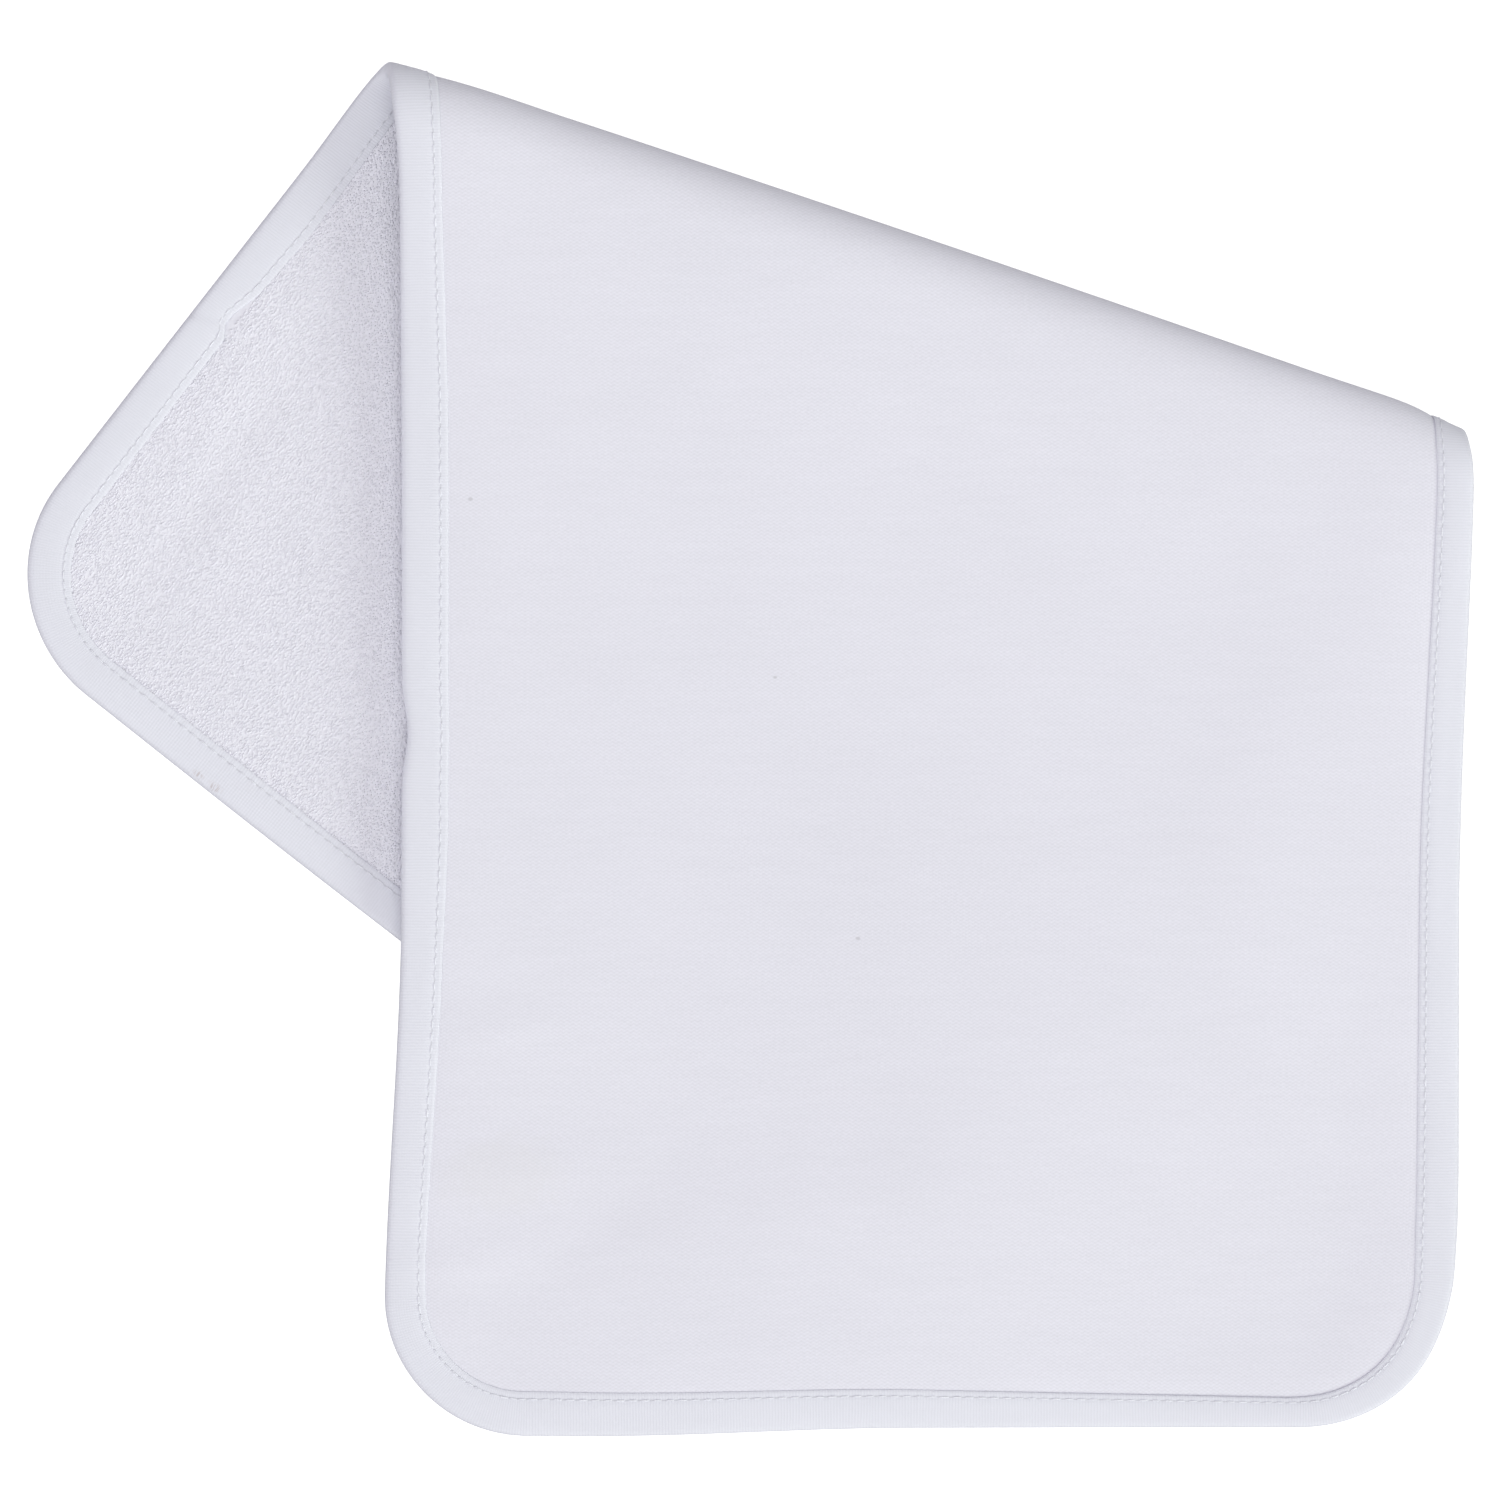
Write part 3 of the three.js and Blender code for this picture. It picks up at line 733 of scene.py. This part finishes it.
# %% [markdown]
# Materials
#
# All three fabrics are white with a cool cast, and differ in their surface. Pictures of cloth could
# be wrapped round the pieces, but waves and noise on the flat UV stay sharp from any distance and
# bend with the cloth. These helpers build the node trees.

# %% Sums and mixes
def calculate(tree, operation, a, b=0.0):
    return add(tree, "ShaderNodeMath", {0: a, 1: b}, operation=operation).outputs[0]


def times(tree, a, b):
    return calculate(tree, "MULTIPLY", a, b)


def plus(tree, first, *others):
    total = first
    for other in others:
        total = calculate(tree, "ADD", total, other)
    return total


def blend_colours(tree, share, a, b):
    node = add(tree, "ShaderNodeMix", {0: share, 6: a, 7: b}, data_type="RGBA")
    return node.outputs[2]


# %% A cloth's shader, and where its pattern is read
SPECULAR = 0.2
SHEEN_ROUGHNESS = 0.6


def cloth_material(name, roughness, sheen):
    material = bpy.data.materials.new(name)
    material.use_nodes = True
    tree = material.node_tree
    shader = tree.nodes["Principled BSDF"]
    shader.inputs["Roughness"].default_value = roughness
    shader.inputs["Specular IOR Level"].default_value = SPECULAR
    shader.inputs["Sheen Weight"].default_value = sheen
    shader.inputs["Sheen Roughness"].default_value = SHEEN_ROUGHNESS
    return material, tree, shader


def flat_place(tree):
    """Where a point is on the flat cloth, in metres."""
    return add(tree, "ShaderNodeUVMap", uv_map="flat").outputs["UV"]


def place_in_space(tree):
    """Where a point is in space, for small pieces that have no flat place."""
    return add(tree, "ShaderNodeTexCoord").outputs["Object"]


# %% Noise, shades and relief
def stretched_noise(tree, vector, scale, detail=2.0, roughness=0.5):
    """Noise with its own scale, per metre, along each direction."""
    scaled = add(tree, "ShaderNodeMapping", {"Vector": vector, "Scale": scale}, vector_type="POINT")
    settings = {"Scale": 1.0, "Detail": detail, "Roughness": roughness}
    noise = add(tree, "ShaderNodeTexNoise", {"Vector": scaled.outputs["Vector"], **settings})
    return noise.outputs["Fac"]


def around_zero(tree, value, size):
    """Noise, which lies round a half, turned into a number that lies round zero."""
    return times(tree, calculate(tree, "SUBTRACT", value, 0.5), size)


def mottle(tree, vector, size, **look):
    """Noise round zero, for making a colour uneven."""
    return around_zero(tree, stretched_noise(tree, vector, **look), size)


def shade(tree, colour, amount):
    """The colour made lighter or darker by a small number."""
    gain = calculate(tree, "ADD", amount, 1.0)
    scaled = add(tree, "ShaderNodeVectorMath", {0: colour[:3], "Scale": gain}, operation="SCALE")
    return scaled.outputs[0]


def bump(tree, height, depth):
    """A relief that is this deep, in metres."""
    node = add(tree, "ShaderNodeBump", {"Height": height, "Distance": depth, "Strength": 1.0})
    return node.outputs[0]


# %% Waves and spots
SPOT_UNEVEN = 0.9


def wave(tree, value, pitch):
    """A sine from -1 to 1 along a coordinate in metres."""
    return calculate(tree, "SINE", times(tree, value, 2 * math.pi / pitch))


def fade(tree, value, full, none):
    """1 up to the first value, 0 from the second on."""
    ranges = {"From Min": full, "From Max": none, "To Min": 1.0, "To Max": 0.0}
    return add(tree, "ShaderNodeMapRange", {"Value": value, **ranges}).outputs[0]


def spot(tree, vector, place_uv, size, edge_noise):
    """1 in the middle of a spot and 0 outside it. Its edge is uneven."""
    stretch = (1 / size[0], 1 / size[1], 0)
    offset = add(tree, "ShaderNodeVectorMath", {0: vector, 1: (*place_uv, 0)}, operation="SUBTRACT")
    scaled = add(tree, "ShaderNodeVectorMath", {0: offset.outputs[0], 1: stretch}, operation="MULTIPLY")
    length = add(tree, "ShaderNodeVectorMath", {0: scaled.outputs[0]}, operation="LENGTH")
    rough = plus(tree, length.outputs["Value"], around_zero(tree, edge_noise, SPOT_UNEVEN))
    return fade(tree, rough, 0.5, 1.0)


# %% [markdown]
# Smooth interlock knit
#
# Interlock shows fine upright ribs, the wales, crossed by rows of stitches, the courses. A sine
# along each, staggered from rib to rib, gives the knit its relief. Streaks, clouds and uneven yarns
# break up its tone. It also has a faint warm patch and a few specks of lint.

# %% The smooth knit
COOL_WHITE = (0.79, 0.789, 0.857, 1)
WARM_MARK = (0.75, 0.745, 0.74, 1)
LINT = (0.50, 0.49, 0.52, 1)
WALE = 0.00073
COURSE = 0.00083
KNIT_RELIEF = {"depth": 0.00002, "courses": 0.2, "yarn": (900, 700, 1)}
KNIT_GRAIN = 0.045
KNIT_MOTTLES = [
    {"scale": (55, 300, 1), "detail": 4.0, "roughness": 0.6, "size": 0.05},
    {"scale": (22, 26, 1), "detail": 3.0, "size": 0.05},
    {"scale": (1300, 1100, 1), "detail": 1.0, "size": 0.09},
]
MARK_EDGE = {"scale": (260, 260, 1), "detail": 3.0}
WARM_PATCH = {"uv": (0.027, 0.062), "size": (0.018, 0.011), "strength": 0.2}
SPECK = {"size": (0.0007, 0.0005), "strength": 0.5}
SPECKS = [(0.0165, 0.2224), (0.0895, 0.1798), (0.110, 0.1173)]


def smooth_knit():
    material, tree, shader = cloth_material("smooth_knit", roughness=0.9, sheen=0.02)
    flat = flat_place(tree)
    part = add(tree, "ShaderNodeSeparateXYZ", {"Vector": flat})
    wales = wave(tree, part.outputs["X"], 2 * WALE)
    staggered = plus(tree, part.outputs["Y"], times(tree, wales, COURSE / 4))
    courses = wave(tree, staggered, COURSE)
    ribs = calculate(tree, "ABSOLUTE", wales)
    yarn = stretched_noise(tree, flat, KNIT_RELIEF["yarn"], detail=1.0)
    height = plus(tree, ribs, times(tree, courses, KNIT_RELIEF["courses"]), yarn)
    grain = times(tree, times(tree, ribs, courses), KNIT_GRAIN)
    mottles = [mottle(tree, flat, **row) for row in KNIT_MOTTLES]
    colour = shade(tree, COOL_WHITE, plus(tree, grain, *mottles))
    uneven = stretched_noise(tree, flat, **MARK_EDGE)
    warm = spot(tree, flat, WARM_PATCH["uv"], WARM_PATCH["size"], uneven)
    colour = blend_colours(tree, times(tree, warm, WARM_PATCH["strength"]), colour, WARM_MARK)
    for place_uv in SPECKS:
        lint = spot(tree, flat, place_uv, SPECK["size"], uneven)
        colour = blend_colours(tree, times(tree, lint, SPECK["strength"]), colour, LINT)
    tree.links.new(colour, shader.inputs["Base Color"])
    tree.links.new(bump(tree, height, KNIT_RELIEF["depth"]), shader.inputs["Normal"])
    return material


print("Knit:", round(0.01 / WALE, 1), "wales to the centimetre")

# %% [markdown]
# Terry
#
# Light sinks in between terry's loops, so it looks matte and mottled. The ground gets its loops as
# bump, a cell for each, with painted shade in the gaps, because most of it is hidden under the front
# layer. The real loops on the flap get a fuzz, and a tone that wanders from tuft to tuft.

# %% Terry ground and loops
TERRY_WHITE = (0.84, 0.838, 0.902, 1)
LOOP_ACROSS = 0.6
LOOP_ALONG = 0.85
# The cells' tone is painted shade: how much darker the gaps between loops are.
CELLS = {"randomness": 0.9, "depth": 0.00008, "tone": 0.1}
GROUND_MOTTLE = {"scale": (60, 45, 1), "detail": 3.0, "size": 0.06}
PILE_MOTTLE = {"scale": (850, 850, 850), "size": 0.16}
FUZZ = {"scale": (4000, 4000, 4000), "depth": 0.00004}


def terry_ground():
    material, tree, shader = cloth_material("terry", roughness=0.95, sheen=0.02)
    flat = flat_place(tree)
    loops_a_metre = (1 / (LOOP_ACROSS * MM), 1 / (LOOP_ALONG * MM), 1)
    scaled = add(tree, "ShaderNodeMapping", {"Vector": flat, "Scale": loops_a_metre})
    settings = {"Vector": scaled.outputs["Vector"], "Scale": 1.0, "Randomness": CELLS["randomness"]}
    cells = add(tree, "ShaderNodeTexVoronoi", settings, feature="SMOOTH_F1")
    height = calculate(tree, "SUBTRACT", 1.0, cells.outputs["Distance"])
    # Painted shade: each cell is lighter in its middle and darker in the gaps between loops.
    tone = around_zero(tree, height, CELLS["tone"])
    colour = shade(tree, TERRY_WHITE, plus(tree, tone, mottle(tree, flat, **GROUND_MOTTLE)))
    tree.links.new(colour, shader.inputs["Base Color"])
    tree.links.new(bump(tree, height, CELLS["depth"]), shader.inputs["Normal"])
    return material


def terry_loops():
    material, tree, shader = cloth_material("terry_loops", roughness=0.95, sheen=0.02)
    at = place_in_space(tree)
    colour = shade(tree, TERRY_WHITE, mottle(tree, at, **PILE_MOTTLE))
    fuzz = stretched_noise(tree, at, FUZZ["scale"])
    tree.links.new(colour, shader.inputs["Base Color"])
    tree.links.new(bump(tree, fuzz, FUZZ["depth"]), shader.inputs["Normal"])
    return material


print("Terry:", round(100 / (LOOP_ACROSS * LOOP_ALONG)), "loops to the square centimetre")

# %% [markdown]
# Binding tape and thread
#
# The tape is a knit with fine ribs across it, which wander a little, and painted shade darkens the
# grooves between them. The needle left a small hole at each stitch's end, and the shade in it is
# painted, because a real hole would need far more faces. Painted shade also darkens the turned edge.
# The flap's tape carries two faint brown marks.

# %% The binding's knit
TAPE_WHITE = (0.785, 0.794, 0.86, 1)
BROWN = (0.36, 0.25, 0.22, 1)
RIB = 0.0007
TAPE_RELIEF = {"depth": 0.000016, "rows": 0.3}
# Painted shade between the tape's ribs: how much lighter the crests and darker the grooves are.
RIB_SHADE = 0.02
RIB_WANDER = {"scale": (120, 90, 1), "size": 0.0006}
TAPE_MOTTLE = {"scale": (40, 160, 1), "size": 0.05}
# Painted shade in the needle holes: how long and wide each is, and how much darker.
HOLE_SHADE = {"long": 0.0007, "wide": 0.00028, "dark": 0.16}
# Painted shade along the tape's turned edge, where it meets the panel.
TURNED_EDGE_SHADE = {"full": 0.0001, "none": 0.0004, "dark": 0.08}
STAIN_EDGE = {"scale": (600, 400, 1), "detail": 3.0}
FLECKS = {"scale": (3200, 500, 1), "full": 0.42, "none": 0.52, "strength": 0.38}
STAINS = [((0.8740, 0.0031), (0.0019, 0.0011)), ((0.8690, 0.0032), (0.0023, 0.0013))]


def near_lines(tree, across, lines):
    """Distance to the nearer of two lines that run along the tape."""
    first, second = (
        calculate(tree, "ABSOLUTE", calculate(tree, "SUBTRACT", across, float(line))) for line in lines
    )
    return calculate(tree, "MINIMUM", first, second)


def needle_hole_shade(tree, on, across):
    """1 at each end of a stitch, where the shade in the needle hole is painted."""
    period = edge["around"] * MM / STITCH_COUNT
    turns = plus(tree, calculate(tree, "DIVIDE", on, period), 0.5)
    off = calculate(tree, "SUBTRACT", calculate(tree, "FRACT", turns), 0.5)
    lengthwise = times(tree, off, period / HOLE_SHADE["long"])
    sideways = calculate(tree, "DIVIDE", near_lines(tree, across, tape_lines["stitch"]), HOLE_SHADE["wide"])
    squares = (times(tree, part, part) for part in (lengthwise, sideways))
    return fade(tree, plus(tree, *squares), 0.25, 1.0)


def binding_knit():
    material, tree, shader = cloth_material("binding_knit", roughness=0.88, sheen=0.02)
    flat = flat_place(tree)
    part = add(tree, "ShaderNodeSeparateXYZ", {"Vector": flat})
    on, across = part.outputs["X"], part.outputs["Y"]
    ribs = wave(tree, plus(tree, on, mottle(tree, flat, **RIB_WANDER)), RIB)
    rows = wave(tree, across, RIB)
    height = plus(tree, ribs, times(tree, rows, TAPE_RELIEF["rows"]))
    # Painted shade: the tone follows the ribs, lighter on their crests and darker between them.
    tone = plus(tree, mottle(tree, flat, **TAPE_MOTTLE), times(tree, ribs, RIB_SHADE))
    to_edge = near_lines(tree, across, tape_lines["edge"])
    turned = fade(tree, to_edge, TURNED_EDGE_SHADE["full"], TURNED_EDGE_SHADE["none"])
    # Painted shade, darker in the needle holes and along the turned edge.
    for mark, look in ((needle_hole_shade(tree, on, across), HOLE_SHADE), (turned, TURNED_EDGE_SHADE)):
        tone = calculate(tree, "SUBTRACT", tone, times(tree, mark, look["dark"]))
    colour = shade(tree, TAPE_WHITE, tone)
    uneven = stretched_noise(tree, flat, **STAIN_EDGE)
    flecks = fade(tree, stretched_noise(tree, flat, FLECKS["scale"]), FLECKS["full"], FLECKS["none"])
    for place_uv, size in STAINS:
        mark = times(tree, spot(tree, flat, place_uv, size, uneven), flecks)
        colour = blend_colours(tree, times(tree, mark, FLECKS["strength"]), colour, BROWN)
    tree.links.new(colour, shader.inputs["Base Color"])
    tree.links.new(bump(tree, height, TAPE_RELIEF["depth"]), shader.inputs["Normal"])
    return material


print("Tape:", round(0.01 / RIB, 1), "ribs to the centimetre")

# %% The thread
THREAD_WHITE = (0.83, 0.84, 0.89, 1)
THREAD_TWIST = {"scale": (3500, 3500, 3500), "detail": 1.0}
TWIST_DEPTH = 0.00005


def thread():
    material, tree, shader = cloth_material("thread", roughness=0.7, sheen=0.1)
    shader.inputs["Base Color"].default_value = THREAD_WHITE
    twist = stretched_noise(tree, place_in_space(tree), **THREAD_TWIST)
    tree.links.new(bump(tree, twist, TWIST_DEPTH), shader.inputs["Normal"])
    return material


# %% Give the fabrics to the pieces
MATERIALS = {
    "smooth_knit": smooth_knit(),
    "terry": terry_ground(),
    "loops": terry_loops(),
    "binding_knit": binding_knit(),
    "thread": thread(),
}
smooth_panel.data.materials.append(MATERIALS["smooth_knit"])
terry_panel.data.materials.append(MATERIALS["terry"])
binding.data.materials.append(MATERIALS["binding_knit"])
for name, material in MATERIALS.items():
    print("Material", name, "has", len(material.node_tree.nodes), "nodes")

# %% [markdown]
# Topstitching
#
# One line of lockstitch holds the tape on, about 3 mm a stitch. Each stitch shows on both sides as
# a short thread sunk in the tape, so both sides get a row of small tubes. A painted line would be
# lighter, but a thread catches the light and dips into its holes.

# %% Stitches on both sides
STITCH_TUBE = {"length": 2.0, "height": 0.07, "radius": 0.18, "sides": 6, "segments": 6}
STITCH_SIZES = {"smallest": 0.9, "largest": 1.05, "seed": 3}


def make_stitches(side):
    table = FACE_WIDTHS if side > 0 else TERRY_WIDTHS
    every = slice(None, None, STATIONS_PER_STITCH)
    at = edge["at"][every] + STITCH / 2
    inset = STITCH_LINE * width_along(table, at)
    half = STATIONS_PER_STITCH // 2
    u, v, in_u, in_v = (np.roll(edge[key], -half)[every] for key in ("u", "v", "in_u", "in_v"))
    u, v = u + in_u * inset, v + in_v * inset
    height = STITCH_DEPTH["smooth" if side > 0 else "terry"]
    if side < 0:
        height = height + lap_rise(at, inset)
    centre, normal, _ = surface(u, v)
    points = centre + side * normal * np.broadcast_to(height, u.shape)[:, None]
    lengthwise = np.roll(points, -1, axis=0) - np.roll(points, 1, axis=0)
    tube = small_tube("thread_piece", **STITCH_TUBE)
    name = "stitches_smooth" if side > 0 else "stitches_terry"
    out = side * normal
    return set_on_points(name, points, lengthwise, out, tube, material=MATERIALS["thread"], **STITCH_SIZES)


stitches = [make_stitches(1), make_stitches(-1)]
print("Stitches:", [len(s.data.polygons) for s in stitches], "faces")

# %% [markdown]
# Terry loops
#
# Terry is a knit with a second yarn left standing in loops. Near the eye they matter, so the flap
# has real ones: bowed bits of yarn in rough rows along the cloth, turned and leaning a little.
# Bump alone would look flat in low light.

# %% Where the loops stand
LOOP_FIELD = {"margin": 8, "from_share": 0.6, "inside": 9.9, "past_fold": 0.75, "under_front": 8}
LOOP_SPREAD = {"across": 0.25, "along": 0.3, "turn": 0.25, "lean": 0.12, "height": 0.04}
LOOPS_SUNK = 0.05
LOOP_SEED = 11


def loop_places():
    """Points, lengthwise and outward directions of all the loops that show."""
    rng = np.random.default_rng(LOOP_SEED)
    margin = LOOP_FIELD["margin"]
    columns = np.arange(margin, WIDTH - margin, LOOP_ACROSS)
    rows = np.arange(LENGTH * LOOP_FIELD["from_share"], LENGTH - margin, LOOP_ALONG)
    u, v = (grid.ravel() for grid in np.meshgrid(columns, rows))
    v = v + (np.round(u / LOOP_ACROSS) % 2) * LOOP_ALONG / 2
    u = u + rng.uniform(-LOOP_SPREAD["across"], LOOP_SPREAD["across"], u.shape)
    v = v + rng.uniform(-LOOP_SPREAD["along"], LOOP_SPREAD["along"], v.shape)
    past, _ = fold_coordinates(LEFT_X + u, NEAR_Y + v)
    centre, normal, lengthwise = surface(u, v)
    inset = inset_from_edge(u, v)
    visible = centre[:, 0] < LEFT_X + LOOP_FIELD["under_front"]
    behind = past > FOLD_LENGTH * LOOP_FIELD["past_fold"]
    keep = behind & (inset > LOOP_FIELD["inside"]) & visible
    centre, normal, lengthwise, inset = (a[keep] for a in (centre, normal, lengthwise, inset))
    sideways = np.cross(normal, lengthwise)
    each = (len(inset), 1)
    lengthwise = lengthwise + rng.normal(0, LOOP_SPREAD["turn"], each) * sideways
    out = -normal + rng.normal(0, LOOP_SPREAD["lean"], each) * sideways
    unevenness = rng.uniform(-LOOP_SPREAD["height"], LOOP_SPREAD["height"], len(inset))
    height = pile_height(inset) - LOOPS_SUNK + unevenness
    return centre - normal * height[:, None], lengthwise, out


# %% Make the loops
LOOP_TUBE = {"length": 0.95, "height": 0.1, "radius": 0.26, "sides": 4, "segments": 2, "flatness": 0.6}
LOOP_SIZES = {"smallest": 0.8, "largest": 1.15, "seed": 5}
LOOP_PIECES = ["terry_loops_lower", "terry_loops_middle", "terry_loops_upper"]


def make_loops():
    """The loops in three strips, from the lowest up, so that no piece is too large."""
    points, lengthwise, out = loop_places()
    limits = np.quantile(points[:, 1], np.linspace(0, 1, len(LOOP_PIECES) + 1))
    pieces = []
    for k, name in enumerate(LOOP_PIECES):
        part = (points[:, 1] > limits[k]) & (points[:, 1] <= limits[k + 1])
        look = {"tube": small_tube("loop_piece", **LOOP_TUBE), "material": MATERIALS["loops"]}
        pieces.append(set_on_points(name, points[part], lengthwise[part], out[part], **look, **LOOP_SIZES))
    return pieces


loops = make_loops()
for piece in loops:
    print(piece.name, sum(len(p.vertices) - 2 for p in piece.data.polygons), "triangles")

# %% [markdown]
# Fitting the pieces to the model
#
# The cloth has no joints, so every piece rides on the one body, the root. The three sheets stand in
# for the solids that they refine.

# %% Attach the pieces
for piece, node, slot in (
    (smooth_panel, "face_panel", "smooth_knit"),
    (terry_panel, "terry_panel", "terry"),
    (binding, "binding", "binding_knit"),
):
    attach(piece, "root")
    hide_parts(node)
for piece, slot in (*((s, "binding_knit") for s in stitches), *((part, "terry") for part in loops)):
    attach(piece, "root")
print("Small pieces attached:", len(stitches) + len(loops))

# %% [markdown]
# The table
#
# A plain white table. It glows, so it comes out as white as the photographed background. It throws
# no light back on to the cloth, because that would brighten the cloth's rims.

# %% The table
TABLE_REACH = 3.0
TABLE_COLOUR = (0.9, 0.9, 0.9, 1)
TABLE_ROUGHNESS = 0.8
TABLE_GLOW = 0.7


def make_table():
    reach = TABLE_REACH
    corners = [(-reach, -reach, 0), (reach, -reach, 0), (reach, reach, 0), (-reach, reach, 0)]
    mesh = bpy.data.meshes.new("table_top")
    mesh.from_pydata(corners, [], [(0, 1, 2, 3)])
    made = bpy.data.objects.new("table_top", mesh)
    bpy.context.scene.collection.objects.link(made)
    material = bpy.data.materials.new("table_white")
    material.use_nodes = True
    shader = material.node_tree.nodes["Principled BSDF"]
    shader.inputs["Base Color"].default_value = TABLE_COLOUR
    shader.inputs["Roughness"].default_value = TABLE_ROUGHNESS
    shader.inputs["Emission Color"].default_value = (1, 1, 1, 1)
    shader.inputs["Emission Strength"].default_value = TABLE_GLOW
    mesh.materials.append(material)
    made.visible_diffuse = False
    return made


table_top = make_table()
print("Table:", 2 * TABLE_REACH, "m wide")

# %% [markdown]
# The tape's flat size
#
# The tape was cut as long as the outline and as wide as the way round its section.

# %% [markdown]
# The light
#
# The photo is lit softly, so half of the light comes from an even sky, dimmer below the horizon. A
# soft sun from the near side shades the roll of the fold. A low one from the right draws the shadow
# along the front layer's left edge, and a weak one from the upper left opens the darkest rims.

# %% Light
SKY = 0.51
FROM_BELOW = 0.25
HORIZON = 0.1
SKY_TINT = (1, 0.975, 1.02)
OVERHEAD = {"share": 0.275, "tint": (1, 1.01, 0.985), "azimuth": -90, "elevation": 47, "spread": 50}
FROM_RIGHT = {"share": 0.135, "tint": (1, 1.06, 0.96), "azimuth": -12, "elevation": 21, "spread": 24}
FILL = {"share": 0.048, "tint": SKY_TINT, "azimuth": 140, "elevation": 20, "spread": 50}


def soft_sun(name, share, tint, azimuth, elevation, spread):
    """A soft distant light that gives a level white surface this share of full brightness."""
    light = bpy.data.lights.new(name, "SUN")
    light.energy = share * math.pi / math.sin(math.radians(elevation))
    light.color = tint
    light.angle = math.radians(spread)
    made = bpy.data.objects.new(name, light)
    made.rotation_euler = (0, math.radians(90 - elevation), math.radians(azimuth))
    bpy.context.scene.collection.objects.link(made)
    print(name, "gives", share, "of full brightness")


soft_sun("overhead_light", **OVERHEAD)
soft_sun("right_light", **FROM_RIGHT)
soft_sun("fill_light", **FILL)

# %% Sky
world = bpy.context.scene.world or bpy.data.worlds.new("studio")
bpy.context.scene.world = world
world.use_nodes = True
sky = world.node_tree.nodes["Background"]
sky.inputs["Color"].default_value = (*SKY_TINT, 1)
direction = add(world.node_tree, "ShaderNodeTexCoord").outputs["Generated"]
upwards = add(world.node_tree, "ShaderNodeSeparateXYZ", {"Vector": direction}).outputs["Z"]
ranges = {"From Min": -HORIZON, "From Max": HORIZON, "To Min": FROM_BELOW, "To Max": SKY}
strength = add(world.node_tree, "ShaderNodeMapRange", {"Value": upwards, **ranges})
world.node_tree.links.new(strength.outputs["Result"], sky.inputs["Strength"])
print("Sky:", SKY, "above the horizon and", FROM_BELOW, "below")

# %% [markdown]
# The camera
#
# The photo was taken from straight above with hardly any perspective, so the camera stands high
# over the cloth with a long lens. The lens follows from the width that the frame takes in.

# %% Camera
CAMERA_HEIGHT = 2.4
FRAME_WIDTH = 0.36
SENSOR = 36
CLIP_END = 20
camera_data = bpy.data.cameras.new("camera")
camera_data.sensor_width = SENSOR
camera_data.lens = SENSOR * CAMERA_HEIGHT / FRAME_WIDTH
camera_data.clip_end = CLIP_END
camera = bpy.data.objects.new("camera", camera_data)
camera.location = (0, 0, CAMERA_HEIGHT)
bpy.context.scene.collection.objects.link(camera)
bpy.context.scene.camera = camera
bpy.context.scene.view_settings.view_transform = "Standard"
print("Camera over the cloth at", CAMERA_HEIGHT, "m, lens", round(camera_data.lens), "mm")
